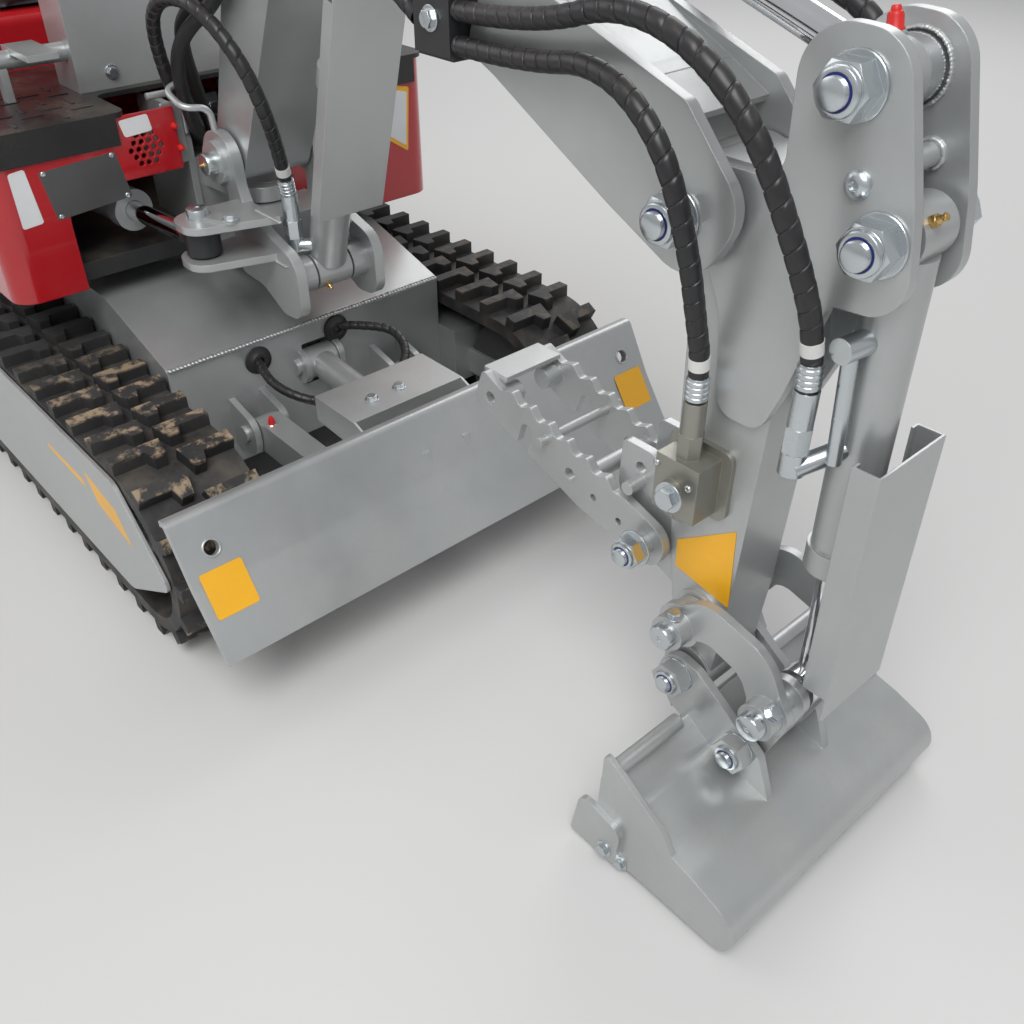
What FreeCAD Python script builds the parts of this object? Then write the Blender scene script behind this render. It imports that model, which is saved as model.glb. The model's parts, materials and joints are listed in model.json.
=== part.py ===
import FreeCAD, Part
import math
import os
from FreeCAD import Placement, Rotation, Vector

# Mini excavator on rubber tracks, parked with its bucket down and its blade lifted.
# Millimetres. +X is forward, +Y the machine's left, +Z up.
# The origin lies on the ground, on the axis that the house turns about.

# Tracks
OVERALL_HALF = 465.0
TRACK_WIDTH = 175.0
LUG_HEIGHT = 22.0
BELT_THICKNESS = 24.0
WHEEL_HEIGHT = 165.0
IDLER_X = 600.0
SPROCKET_X = -400.0
LUG_COUNT = 40
LUG_BAR = (84.0, 11.0, 19.0)
LUG_SUNK = 3.0
WHEEL_GAP = 0.6
SIDE_PLATE = 6.0
SIDE_PLATE_TOP = 303.0
SIDE_PLATE_TIP = 742.0
BEAM_LOW = 126.0
BEAM_HIGH = 240.0
ROLLER_COUNT = 3
ROLLER_RADIUS = 38.0
ROLLER_INSET = 30.0
IDLER_INSET = 40.0
SPROCKET_INSET = 60.0
HANGER_PLATE = 8.0
AXLE_RADIUS = 12.0
MOTOR_RADIUS = 75.0
MOTOR_PLATE_RADIUS = 98.0
SEAT_GAP = 0.3

# Car body
BODY_GAP = 7.0
BODY_HALF = OVERALL_HALF - TRACK_WIDTH - BODY_GAP
FRONT_PLATE_X = 430.0
FRONT_PLATE_LOW = 120.0
FRONT_PLATE_TOP = 340.0
BEND_X = 355.0
BEND_Z = 362.0
BODY_TOP = 400.0
BODY_REAR_X = -300.0
RING_RADIUS = 195.0
RING_HEIGHT = 39.7

# Blade
BLADE_PIVOT = (474.0, 200.0)
BLADE_ARM_Y = 150.0
BLADE_ARM_WIDTH = 44.0
BLADE_TOP = (780.0, 310.0)
BLADE_FOOT = (893.0, 130.0)
BLADE_SHEET = 8.0
BLADE_LIP = 24.0
BLADE_HOLE_RADIUS = 11.0
BLADE_HOLE_Y = OVERALL_HALF - 47.0
BLADE_HOLE_DROP = 48.0
BLADE_CYLINDER_BASE = (430.0, 262.0)
BLADE_ROD_PIN = (742.0, 236.0)
COVER_HALF = 112.0
COVER_SHEET = 4.0

# House
DECK_LOW = 440.0
DECK_THICKNESS = 30.0
HOUSE_FRONT = 240.0
HOUSE_HALF = 425.0
DECK_HALF = HOUSE_HALF - 15.0
HOUSE_REAR = -600.0
FLOOR_TOP = 698.0
FLOOR_SHEET = 8.0
COVER_LOW = 430.0
COVER_WALL = 6.0
COVER_INNER_Y = 100.0
SEAT_STEP_X = -130.0
SEAT_STEP_TOP = 790.0
HOOD_TOP = 1040.0
HOOD_HALF = HOUSE_HALF - 27.0
ENGINE_WIDTH = 400.0
ENGINE_LENGTH = 300.0
ENGINE_HEIGHT = 290.0
SEAT_WIDTH = 420.0
TAIL_RADIUS = 720.0
PANEL_X = 100.0
PANEL_HALF = 193.0
PANEL_TOP = 985.0
ROOF_LOW = 2150.0
ROOF_HALF = HOUSE_HALF + 25.0
ROOF_FRONT = 70.0
ROOF_THICKNESS = 36.0
GRILLE_PLACE = (158.0, 634.0)
GRILLE_PITCH = 13.0
GRILLE_HOLE = 4.5
POST_WIDTH = 40.0

# Swing bracket
KINGPIN_X = 325.0
KINGPIN_RADIUS = 25.0
LUG_PLATE = 25.0
LOWER_LUG_Z = 430.0
UPPER_LUG_Z = 545.0
BRACKET_INNER = 66.0
BRACKET_PLATE = 18.0
EAR_X = 415.0
EAR_Y = -170.0
EAR_Z = 532.0
SWING_BASE = (-185.0, -240.0)

# Boom, arm and bucket: pin centres (x, z) in the parked pose
BOOM_FOOT = (340.0, 620.0)
BOOM_BEND = (580.0, 1130.0)
ARM_PIVOT = (1290.0, 792.0)
BOOM_CYLINDER_FOOT = (500.0, 465.0)
BOOM_ROD_PIN = (654.5, 955.0)
ARM_CYLINDER_BASE = (805.0, 1145.0)
ARM_ROD_PIN = (1442.0, 937.0)
BUCKET_CYLINDER_BASE = (1491.0, 817.0)
ARM_TIP = (1360.0, 205.0)
ROCKER_BASE = (1363.0, 303.0)
ROCKER_END = (1502.0, 261.0)
BUCKET_LINK_PIN = (1466.0, 153.0)
THUMB_HINGE = (1280.0, 372.0)
THUMB_TIP = (967.0, 460.0)

BOOM_HALF = 62.0
BOOM_DEPTHS = (42.0, 72.0, 62.0)
BOX_END = 102.0
END_RISE = 16.0
CLAMP_PLACE = 408.0
CLAMP_LENGTH = 62.0
CLAMP_DEPTH = 36.0
CHEEK_PLATE = 14.0
ARM_HALF = 44.0
HEAD_PLATE_IN = 38.0
HEAD_PLATE_OUT = 52.0
PIN_RADIUS = 15.0
RUNNING_GAP = 0.05
NUT_RADIUS = 25.0
NUT_LENGTH = 22.0
ROCKER_IN = 72.0
ROCKER_OUT = 84.0
LINK_IN = 38.0
LINK_OUT = 50.0
EAR_IN = 55.0
EAR_OUT = 67.0
THUMB_IN = 50.0
THUMB_OUT = 62.0
BUCKET_HALF = 222.0
BUCKET_SHEET = 8.0
GUARD_OUT = 60.0
GUARD_SHEET = 3.0
GUARD_YOKE = 28.0
BUCKET_FLOOR_Z = 10.0

# Lower edge, tip and upper edge of the thumb's plates: along the hinge-to-tip line, aside, radius
THUMB_EDGE = (
    (50, -34, 20), (66, -28, 6), (84, -40, 5), (102, -27, 8), (120, -41, 5), (138, -27, 8), (156, -41, 5),
    (174, -27, 8), (192, -40, 5), (210, -26, 8), (228, -39, 5), (246, -25, 8), (264, -37, 5), (284, -24, 8),
    (326, -30, 8), (328, 24, 12), (240, 32, 10), (236, 32, 2), (236, -8, 10.9), (214, -8, 10.9), (214, 33, 2),
    (210, 33, 10), (110, 40, 40),
)
THUMB_HOLES = ((300, 2, 9), (137, 4, 9), (92, 6, 5), (45, 6, 5))

# Hydraulic fittings and hoses
HOSE_RADIUS = 11.0
THIN_HOSE_RADIUS = 8.0
HOSE_SHARE = 0.45
FITTING_LENGTH = 70.0
FITTING_HEX = 15.0
FITTING_SLEEVE = 13.0
PORT_BLOCK = (1308.0, 462.0)
BUCKET_PORT = (1458.0, 62.0, 596.0)
BOOM_PORT = (489.0, 47.0, 526.0)
VALVE_FRONT = 90.0
VALVE_LENGTH = 70.0
VALVE_HALF = 56.0

PLANES = {
    "xz": lambda u, v, w: Vector(u, w, v),
    "xy": lambda u, v, w: Vector(u, v, w),
    "yz": lambda u, v, w: Vector(w, u, v),
}


def outline(plane, points, w):
    """Closed wire through corners (u, v) or (u, v, radius) at height w over a plane."""
    count = len(points)
    ends = []
    for i, point in enumerate(points):
        corner = Vector(point[0], point[1], 0)
        radius = point[2] if len(point) > 2 else 0.0
        if radius <= 0:
            ends.append((corner, None, corner))
            continue
        before = points[i - 1]
        after = points[(i + 1) % count]
        to_before = (Vector(before[0], before[1], 0) - corner).normalize()
        to_after = (Vector(after[0], after[1], 0) - corner).normalize()
        half = to_before.getAngle(to_after) / 2
        reach = radius / math.tan(half)
        bisector = (to_before + to_after).normalize()
        centre = corner + bisector * (radius / math.sin(half))
        ends.append((corner + to_before * reach, centre - bisector * radius, corner + to_after * reach))
    place = PLANES[plane]
    edges = []
    for i, (start, middle, finish) in enumerate(ends):
        if middle is not None:
            arc = Part.Arc(*[place(p.x, p.y, w) for p in (start, middle, finish)])
            edges.append(arc.toShape())
        following = ends[(i + 1) % count][0]
        if (following - finish).Length > 1e-6:
            line = Part.LineSegment(place(finish.x, finish.y, w), place(following.x, following.y, w))
            edges.append(line.toShape())
    return Part.Wire(edges)


def prism(plane, points, low, high):
    """Solid of an outline, from one height over its plane to another."""
    face = Part.Face(outline(plane, points, low))
    origin = PLANES[plane](0, 0, 0)
    return face.extrude(PLANES[plane](0, 0, high - low) - origin)


def box(x0, x1, y0, y1, z0, z1):
    """Box between two corners."""
    return Part.makeBox(x1 - x0, y1 - y0, z1 - z0, Vector(x0, y0, z0))


def across(pin, radius, y0, y1):
    """Cylinder along Y at a pin centre (x, z)."""
    return Part.makeCylinder(radius, y1 - y0, Vector(pin[0], y0, pin[1]), Vector(0, 1, 0))


def upright(x, y, radius, z0, z1):
    """Cylinder along Z."""
    return Part.makeCylinder(radius, z1 - z0, Vector(x, y, z0))


def bar(start, end, radius):
    """Round bar between two points."""
    start = Vector(*start)
    end = Vector(*end)
    return Part.makeCylinder(radius, (end - start).Length, start, end - start)


def joined(shapes):
    """One solid from shapes that meet."""
    return shapes[0].fuse(shapes[1:]).removeSplitter()


def mirrored(shape):
    """The shape on the machine's other side."""
    return shape.mirror(Vector(0, 0, 0), Vector(0, 1, 0))


def both_sides(shapes):
    """The shapes with their mirror images."""
    return list(shapes) + [mirrored(shape) for shape in shapes]


def nut(pin, y0, y1, radius=NUT_RADIUS):
    """Hexagonal nut along Y on a pin."""
    corners = [
        (pin[0] + radius * math.cos(math.radians(60 * i)), pin[1] + radius * math.sin(math.radians(60 * i)))
        for i in range(6)
    ]
    return prism("xz", corners, y0, y1)


def toward(start, end, distance, aside=0.0):
    """Point at a distance along a line, and aside to its left."""
    dx, dz = end[0] - start[0], end[1] - start[1]
    length = math.hypot(dx, dz)
    ux, uz = dx / length, dz / length
    return (start[0] + ux * distance - uz * aside, start[1] + uz * distance + ux * aside)


def gap(start, end):
    """Distance between two points of a plane."""
    return math.hypot(end[0] - start[0], end[1] - start[1])


def cylinder_parts(length, barrel_radius, barrel_length, rod_radius, closing, eye_half, base_eye, rod_eye):
    """Barrel and rod along +X, hinged about Y at the origin, with the rod's pin at the length."""
    rod_start = 40.0 + closing
    bore = Part.makeCylinder(rod_radius + 0.3, barrel_length, Vector(38, 0, 0), Vector(1, 0, 0))
    barrel = joined(
        [
            across((0, 0), base_eye, -eye_half, eye_half),
            Part.makeCylinder(barrel_radius, barrel_length - 20, Vector(20, 0, 0), Vector(1, 0, 0)),
            Part.makeCylinder(barrel_radius + 4, 30, Vector(barrel_length - 30, 0, 0), Vector(1, 0, 0)),
        ]
    )
    barrel = barrel.cut(bore).cut(across((0, 0), PIN_RADIUS + RUNNING_GAP, -eye_half - 1, eye_half + 1))
    rod_length = length - rod_start
    rod = joined(
        [
            Part.makeCylinder(rod_radius, rod_length, Vector(rod_start, 0, 0), Vector(1, 0, 0)),
            across((length, 0), rod_eye, -eye_half, eye_half),
        ]
    )
    return barrel, rod


def aimed(shape, start, end):
    """A shape built along +X, laid from one (x, z) point to another."""
    angle = math.degrees(math.atan2(end[1] - start[1], end[0] - start[0]))
    copy = shape.copy()
    copy.Placement = Placement(Vector(start[0], 0, start[1]), Rotation(Vector(0, 1, 0), -angle))
    return copy


def channel(start, end, wall_end, front, back, half, sheet, lip):
    """Open channel round a cylinder along +X, its web at +Z and its lips turned in."""
    web = box(start, end, -half, half, front - sheet, front)
    wall = box(start, wall_end, half - sheet, half, back, front)
    edge = box(start, wall_end, half - lip, half, back, back + sheet)
    return joined([web] + both_sides([wall, edge]))


# Tracks
BELT_OUTER = WHEEL_HEIGHT - LUG_HEIGHT
BELT_INNER = BELT_OUTER - BELT_THICKNESS
TRACK_OUT = OVERALL_HALF - 2
TRACK_IN = TRACK_OUT - TRACK_WIDTH


def loop(radius, y0, y1):
    """Solid slot round the idler and the sprocket."""
    middle = box(SPROCKET_X, IDLER_X, y0, y1, WHEEL_HEIGHT - radius, WHEEL_HEIGHT + radius)
    ends = [across((x, WHEEL_HEIGHT), radius, y0, y1) for x in (SPROCKET_X, IDLER_X)]
    return joined([middle] + ends)


def on_loop(distance):
    """Place on the belt's outer face: x, z and the outward direction's angle in degrees."""
    run = IDLER_X - SPROCKET_X
    turn = math.pi * BELT_OUTER
    distance = distance % (2 * run + 2 * turn)
    if distance < run:
        return (SPROCKET_X + distance, WHEEL_HEIGHT - BELT_OUTER, -90.0)
    distance -= run
    if distance < turn:
        angle = -90.0 + math.degrees(distance / BELT_OUTER)
        centre = IDLER_X
    elif distance < turn + run:
        return (IDLER_X - (distance - turn), WHEEL_HEIGHT + BELT_OUTER, 90.0)
    else:
        angle = 90.0 + math.degrees((distance - turn - run) / BELT_OUTER)
        centre = SPROCKET_X
    direction = math.radians(angle)
    return (
        centre + BELT_OUTER * math.cos(direction),
        WHEEL_HEIGHT + BELT_OUTER * math.sin(direction),
        angle,
    )


def lug(y_edge, side):
    """One lug in its own frame, X outwards: a bar from the belt's edge with a stem near its inner end."""
    length, half, stem = LUG_BAR
    points = [
        (y_edge, half), (y_edge, -half), (y_edge + side * 0.6 * length, -half),
        (y_edge + side * 0.68 * length, -half - stem), (y_edge + side * 0.9 * length, -half - stem),
        (y_edge + side * length, half),
    ]
    return prism("yz", points, -LUG_SUNK, LUG_HEIGHT)


def track():
    """The right track: a belt with a row of lugs near each edge, half a pitch apart."""
    belt = loop(BELT_OUTER, -TRACK_OUT, -TRACK_IN).cut(loop(BELT_INNER, -TRACK_OUT - 1, -TRACK_IN + 1))
    around = 2 * (IDLER_X - SPROCKET_X) + 2 * math.pi * BELT_OUTER
    lugs = []
    for y_edge, side, shift in ((-TRACK_OUT, 1, 0.0), (-TRACK_IN, -1, 0.5)):
        for i in range(LUG_COUNT):
            x, z, angle = on_loop((i + shift) * around / LUG_COUNT)
            piece = lug(y_edge, side)
            piece.Placement = Placement(Vector(x, 0, z), Rotation(Vector(0, 1, 0), -angle))
            lugs.append(piece)
    ground = box(SPROCKET_X - WHEEL_HEIGHT, IDLER_X + WHEEL_HEIGHT, -TRACK_OUT - 1, -TRACK_IN + 1, -10, 0)
    return joined([belt] + lugs).cut(ground)


def roller_places():
    """Centres (x, z) of the rollers that stand on the lower run."""
    step = (IDLER_X - SPROCKET_X) / (ROLLER_COUNT + 1)
    z = WHEEL_HEIGHT - BELT_INNER + WHEEL_GAP + ROLLER_RADIUS
    return [(SPROCKET_X + (i + 1) * step, z) for i in range(ROLLER_COUNT)]


def hangers(inset, x0, x1, z0, z1):
    """Two plates that stand beside a wheel at an inset from the track's edges."""
    outer = -TRACK_OUT + inset - SEAT_GAP
    inner = -TRACK_IN - inset + SEAT_GAP
    return [box(x0, x1, outer - HANGER_PLATE, outer, z0, z1), box(x0, x1, inner, inner + HANGER_PLATE, z0, z1)]


def side_frame():
    """The right track frame: beam, outer plate, roller hangers, idler fork and motor plate."""
    beam = box(SPROCKET_X + 160, IDLER_X - 120, -OVERALL_HALF, -BODY_HALF, BEAM_LOW, BEAM_HIGH)
    plate = prism(
        "xz",
        [
            (SPROCKET_X + 20, 70, 30),
            (IDLER_X - 30, 70, 60),
            (SIDE_PLATE_TIP, WHEEL_HEIGHT + 8, 16),
            (IDLER_X + 16, SIDE_PLATE_TOP, 30),
            (SPROCKET_X + 60, SIDE_PLATE_TOP, 60),
            (SPROCKET_X - 20, 200, 40),
        ],
        -OVERALL_HALF - SIDE_PLATE,
        -OVERALL_HALF,
    )
    pieces = [beam, plate]
    for x, z in roller_places():
        pieces += hangers(ROLLER_INSET, x - 20, x + 20, z - 16, BEAM_LOW)
        pieces.append(across((x, z), AXLE_RADIUS, -TRACK_OUT + ROLLER_INSET - 4, -TRACK_IN - ROLLER_INSET + 4))
    pieces += hangers(IDLER_INSET, IDLER_X - 125, IDLER_X + 26, WHEEL_HEIGHT - 26, WHEEL_HEIGHT + 26)
    axle = (IDLER_X, WHEEL_HEIGHT)
    pieces.append(across(axle, AXLE_RADIUS, -TRACK_OUT + IDLER_INSET - 4, -TRACK_IN - IDLER_INSET + 4))
    motor = (SPROCKET_X, WHEEL_HEIGHT)
    low, high = -TRACK_IN - 16, -TRACK_IN - 6
    pieces.append(box(SPROCKET_X, SPROCKET_X + 170, low, high, WHEEL_HEIGHT - 60, WHEEL_HEIGHT + 60))
    pieces.append(across(motor, MOTOR_PLATE_RADIUS, low, high))
    return joined(pieces).cut(across(motor, MOTOR_RADIUS + RUNNING_GAP, low - 1, high + 1))


def track_wheels():
    """Front idler and rollers of both tracks."""
    low, high = -TRACK_OUT, -TRACK_IN
    idler = across((IDLER_X, WHEEL_HEIGHT), BELT_INNER - WHEEL_GAP, low + IDLER_INSET, high - IDLER_INSET)
    wheels = [idler.cut(across((IDLER_X, WHEEL_HEIGHT), AXLE_RADIUS + RUNNING_GAP, low, high))]
    for place in roller_places():
        roller = across(place, ROLLER_RADIUS, low + ROLLER_INSET, high - ROLLER_INSET)
        wheels.append(roller.cut(across(place, AXLE_RADIUS + RUNNING_GAP, low, high)))
    return Part.makeCompound(both_sides(wheels))


def sprockets():
    """Drive wheels at the tracks' rear ends."""
    place = (SPROCKET_X, WHEEL_HEIGHT)
    wheel = across(place, BELT_INNER - WHEEL_GAP, -TRACK_OUT + SPROCKET_INSET, -TRACK_IN - SPROCKET_INSET)
    return Part.makeCompound(both_sides([wheel]))


def travel_motors():
    """Motors that carry the sprockets, held by the track frames' rear plates."""
    place = (SPROCKET_X, WHEEL_HEIGHT)
    motor = across(place, MOTOR_RADIUS, -TRACK_IN - SPROCKET_INSET, -TRACK_IN + 70)
    return Part.makeCompound(both_sides([motor]))


def car_body():
    """Centre box with its bent top plate, the front plate's ears and the blade's lugs."""
    core = prism(
        "xz",
        [
            (BODY_REAR_X, FRONT_PLATE_LOW),
            (FRONT_PLATE_X, FRONT_PLATE_LOW),
            (FRONT_PLATE_X, FRONT_PLATE_TOP, 10),
            (BEND_X, BEND_Z, 30),
            (RING_RADIUS + 30, BODY_TOP, 30),
            (-RING_RADIUS - 20, BODY_TOP, 30),
            (BODY_REAR_X, 300, 20),
        ],
        -BODY_HALF,
        BODY_HALF,
    )
    pieces = [core]
    lug = [
        (FRONT_PLATE_X - 1, BLADE_PIVOT[1] - 45),
        (BLADE_PIVOT[0] + 34, BLADE_PIVOT[1] - 34, 30),
        (BLADE_PIVOT[0] + 34, BLADE_PIVOT[1] + 30, 30),
        (FRONT_PLATE_X - 1, BLADE_PIVOT[1] + 50),
    ]
    half = BLADE_ARM_WIDTH / 2
    for side in (-1, 1):
        for inner in (half + 2, -half - 14):
            y = side * BLADE_ARM_Y + inner
            pieces.append(prism("xz", lug, y, y + 12))
        y = side * BLADE_ARM_Y
        pieces.append(across(BLADE_PIVOT, PIN_RADIUS, y - half - 20, y + half + 20))
    base = BLADE_CYLINDER_BASE
    for y in (-42, 30):
        pieces.append(prism("xz", [(FRONT_PLATE_X - 30, base[1] - 34), (base[0] + 30, base[1] - 30, 28),
                                   (base[0] + 30, base[1] + 30, 28), (FRONT_PLATE_X - 30, base[1] + 34)], y, y + 12))
    pocket = box(base[0] - 36, FRONT_PLATE_X + 1, -29.9, 29.9, base[1] - 40, base[1] + 40)
    body = joined(pieces).cut(pocket)
    return joined([body, across(base, PIN_RADIUS, -50, 50)])


def blade_rear():
    """Corners of the blade's rear face, from its lip to its cutting edge."""
    middle = toward(BLADE_TOP, BLADE_FOOT, 0.45 * gap(BLADE_TOP, BLADE_FOOT), -14)
    return [
        (BLADE_TOP[0] - 14, BLADE_TOP[1] - 4, 6),
        (middle[0] - 5, middle[1] - 3, 60),
        (BLADE_FOOT[0] - BLADE_SHEET - 4, BLADE_FOOT[1]),
    ]


def before_blade(half_width):
    """Space in front of the blade's rear face, which ends what is welded to that face."""
    lip, middle, foot = blade_rear()
    ahead = BLADE_FOOT[0] + 200
    corners = [lip[:2], middle, (foot[0], foot[1]), (foot[0], foot[1] - 100), (ahead, foot[1] - 100), (ahead, lip[1])]
    return prism("xz", corners, -half_width, half_width)


def blade():
    """Bent blade sheet with the cylinder's ears and two lashing holes."""
    top = BLADE_TOP
    foot = BLADE_FOOT
    middle = toward(top, foot, 0.45 * gap(top, foot), -14)
    lip, bend, edge = blade_rear()
    sheet = prism(
        "xz",
        [
            (top[0] - BLADE_LIP, top[1] + 2),
            (top[0] - 6, top[1] + 6, 12),
            (middle[0] + 6, middle[1] + 4, 60),
            (foot[0], foot[1], 2),
            edge,
            bend,
            lip,
            (top[0] - BLADE_LIP, top[1] - 8),
        ],
        -OVERALL_HALF,
        OVERALL_HALF,
    )
    pin = BLADE_ROD_PIN
    ear = prism(
        "xz",
        [
            (pin[0] - 30, pin[1] - 30, 26),
            (pin[0] - 30, pin[1] + 30, 26),
            (pin[0] + 66, pin[1] + 26),
            (pin[0] + 84, pin[1] - 26),
        ],
        34,
        46,
    )
    joined_sheet = joined([sheet] + both_sides([ear, nut(pin, 46, 62)]))
    low = toward(top, foot, BLADE_HOLE_DROP, 40)
    high = toward(top, foot, BLADE_HOLE_DROP, -60)
    for side in (-1, 1):
        y = side * BLADE_HOLE_Y
        joined_sheet = joined_sheet.cut(bar((low[0], y, low[1]), (high[0], y, high[1]), BLADE_HOLE_RADIUS))
    return joined_sheet


def blade_arms():
    """Two arms from the car body's lugs to the back of the blade."""
    back = toward(BLADE_TOP, BLADE_FOOT, 0.62 * gap(BLADE_TOP, BLADE_FOOT), -20)
    half = BLADE_ARM_WIDTH / 2
    arm = prism(
        "xz",
        [
            (BLADE_PIVOT[0] - 26, BLADE_PIVOT[1] + 10, 20),
            (BLADE_PIVOT[0] + 20, BLADE_PIVOT[1] + 32, 20),
            (back[0] + 30, back[1] + 40),
            (back[0] + 50, back[1] - 20),
            (BLADE_PIVOT[0], BLADE_PIVOT[1] - 28, 24),
        ],
        BLADE_ARM_Y - half,
        BLADE_ARM_Y + half,
    )
    arm = arm.cut(across(BLADE_PIVOT, PIN_RADIUS + RUNNING_GAP, 0, OVERALL_HALF))
    arm = arm.cut(before_blade(OVERALL_HALF))
    return Part.makeCompound(both_sides([arm]))


def blade_cover():
    """Bent sheet cover over the blade cylinder's rod end."""
    rear, front = BLADE_ROD_PIN[0] - 142, BLADE_ROD_PIN[0] - 29
    roof = BLADE_ROD_PIN[1] + 66
    top = box(rear, front, -COVER_HALF, COVER_HALF, roof - COVER_SHEET, roof)
    wall = prism(
        "xz",
        [(rear, roof), (rear, roof - 46), (front + 110, roof - 60), (front + 90, roof - 34), (front, roof)],
        COVER_HALF - COVER_SHEET,
        COVER_HALF,
    ).cut(before_blade(OVERALL_HALF))
    edge = box(front - COVER_SHEET, front, -COVER_HALF, COVER_HALF, roof - 24, roof)
    return joined([top, edge] + both_sides([wall]))


# House
def house_frame():
    """Deck plate, front webs and the swing cylinder's ears."""
    deck = prism(
        "xy",
        [
            (HOUSE_FRONT - 12, -DECK_HALF, 20),
            (HOUSE_FRONT - 12, DECK_HALF, 20),
            (HOUSE_REAR, DECK_HALF, 60),
            (HOUSE_REAR, -DECK_HALF, 60),
        ],
        DECK_LOW,
        DECK_LOW + DECK_THICKNESS,
    )
    ears = []
    for z in (EAR_Z - 46, EAR_Z + 34):
        ears.append(
            prism(
                "xy",
                [(SWING_BASE[0] - 36, SWING_BASE[1] - 60), (SWING_BASE[0] + 36, SWING_BASE[1] - 60),
                 (SWING_BASE[0] + 36, SWING_BASE[1] + 36, 20), (SWING_BASE[0] - 36, SWING_BASE[1] + 36, 20)],
                z,
                z + 12,
            )
        )
    stand = box(SWING_BASE[0] - 36, SWING_BASE[0] + 36, SWING_BASE[1] - 72, SWING_BASE[1] - 60,
                DECK_LOW + 10, EAR_Z + 46)
    pin = upright(SWING_BASE[0], SWING_BASE[1], PIN_RADIUS, EAR_Z - 50, EAR_Z + 52)
    return joined([deck, stand, pin] + ears).cut(king_lugs())


def king_lugs():
    """Two lugs on the kingpin with their webs, the face plate between these and the kingpin."""
    lugs = []
    for z, rear in ((LOWER_LUG_Z, RING_RADIUS + 8), (UPPER_LUG_Z, VALVE_FRONT - VALVE_LENGTH)):
        corners = [(rear, -72), (KINGPIN_X + 48, -48, 47.9), (KINGPIN_X + 48, 48, 47.9), (rear, 72)]
        lugs.append(prism("xy", corners, z, z + LUG_PLATE))
    web = prism(
        "xz",
        [
            (HOUSE_FRONT - 180, DECK_LOW + DECK_THICKNESS), (HOUSE_FRONT - 12, DECK_LOW + DECK_THICKNESS),
            (HOUSE_FRONT - 12, FLOOR_TOP - 60, 30), (HOUSE_FRONT - 60, FLOOR_TOP - 20, 20),
            (HOUSE_FRONT - 180, FLOOR_TOP - 20, 20),
        ],
        72,
        84,
    )
    face = box(HOUSE_FRONT - 30, HOUSE_FRONT - 18, -72, 72, LOWER_LUG_Z + 10, UPPER_LUG_Z + LUG_PLATE + 26)
    kingpin = upright(KINGPIN_X, 0, KINGPIN_RADIUS, LOWER_LUG_Z - 8, UPPER_LUG_Z + LUG_PLATE + 1)
    return joined([face, kingpin] + lugs + both_sides([web]))


def front_cover(with_cut):
    """Right front corner cover, a bent sheet with a chamfered foot and a grille."""
    front = prism(
        "xy",
        [
            (HOUSE_FRONT, -COVER_INNER_Y),
            (HOUSE_FRONT, -HOUSE_HALF, 40),
            (SEAT_STEP_X, -HOUSE_HALF),
            (SEAT_STEP_X, -HOUSE_HALF + COVER_WALL),
            (HOUSE_FRONT - COVER_WALL, -HOUSE_HALF + COVER_WALL, 34),
            (HOUSE_FRONT - COVER_WALL, -COVER_INNER_Y),
        ],
        COVER_LOW,
        FLOOR_TOP - FLOOR_SHEET,
    )
    if with_cut:
        way = [(-308, 410), (-COVER_INNER_Y + 10, 410), (-COVER_INNER_Y + 10, 590), (-308, 590, 46)]
        front = front.cut(prism("yz", way, HOUSE_FRONT - 30, HOUSE_FRONT + 10))
    for row, count in enumerate((3, 4, 5, 4, 3)):
        for i in range(count):
            y = -GRILLE_PLACE[0] + (i - (count - 1) / 2) * GRILLE_PITCH
            z = GRILLE_PLACE[1] + (row - 2) * GRILLE_PITCH * 0.87
            hole = bar((HOUSE_FRONT - 20, y, z), (HOUSE_FRONT + 5, y, z), GRILLE_HOLE)
            front = front.cut(hole)
    return front


def floor_plate():
    """Floor sheet with folded front edges beside the boom."""
    wing = 180.0
    sheet = prism(
        "xy",
        [
            (SEAT_STEP_X, -HOUSE_HALF), (HOUSE_FRONT + 4, -HOUSE_HALF, 30), (HOUSE_FRONT + 4, -wing, 20),
            (PANEL_X + 20, -wing, 20), (PANEL_X + 20, wing, 20), (HOUSE_FRONT + 4, wing, 20),
            (HOUSE_FRONT + 4, HOUSE_HALF, 30), (SEAT_STEP_X, HOUSE_HALF),
        ],
        FLOOR_TOP - FLOOR_SHEET,
        FLOOR_TOP,
    )
    fold = box(HOUSE_FRONT + 0.5, HOUSE_FRONT + 4, wing + 20, HOUSE_HALF - 30, FLOOR_TOP - 50, FLOOR_TOP - 1)
    return joined([sheet] + both_sides([fold]))


def engine_hood():
    """Hollow hood: seat step in front, rounded rear over the engine."""
    profile = [
        (SEAT_STEP_X, DECK_LOW + DECK_THICKNESS),
        (SEAT_STEP_X, SEAT_STEP_TOP, 20),
        (SEAT_STEP_X - 270, SEAT_STEP_TOP),
        (SEAT_STEP_X - 300, HOOD_TOP, 40),
        (HOUSE_REAR + 20, HOOD_TOP, 90),
        (HOUSE_REAR, DECK_LOW + DECK_THICKNESS),
    ]
    outer = prism("xz", profile, -HOOD_HALF, HOOD_HALF)
    wall = COVER_WALL
    inner_profile = [
        (SEAT_STEP_X - wall, DECK_LOW),
        (SEAT_STEP_X - wall, SEAT_STEP_TOP - wall, 14),
        (SEAT_STEP_X - 270 - wall, SEAT_STEP_TOP - wall),
        (SEAT_STEP_X - 300 - wall, HOOD_TOP - wall, 34),
        (HOUSE_REAR + 20 + wall, HOOD_TOP - wall, 84),
        (HOUSE_REAR + wall, DECK_LOW),
    ]
    inner = prism("xz", inner_profile, -HOOD_HALF + wall, HOOD_HALF - wall)
    barrel_way = box(
        SEAT_STEP_X - 2 * wall, SEAT_STEP_X + wall, SWING_BASE[1] - 62, SWING_BASE[1] + 62, EAR_Z - 54, EAR_Z + 54
    )
    return outer.cut(inner).cut(barrel_way)


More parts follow.
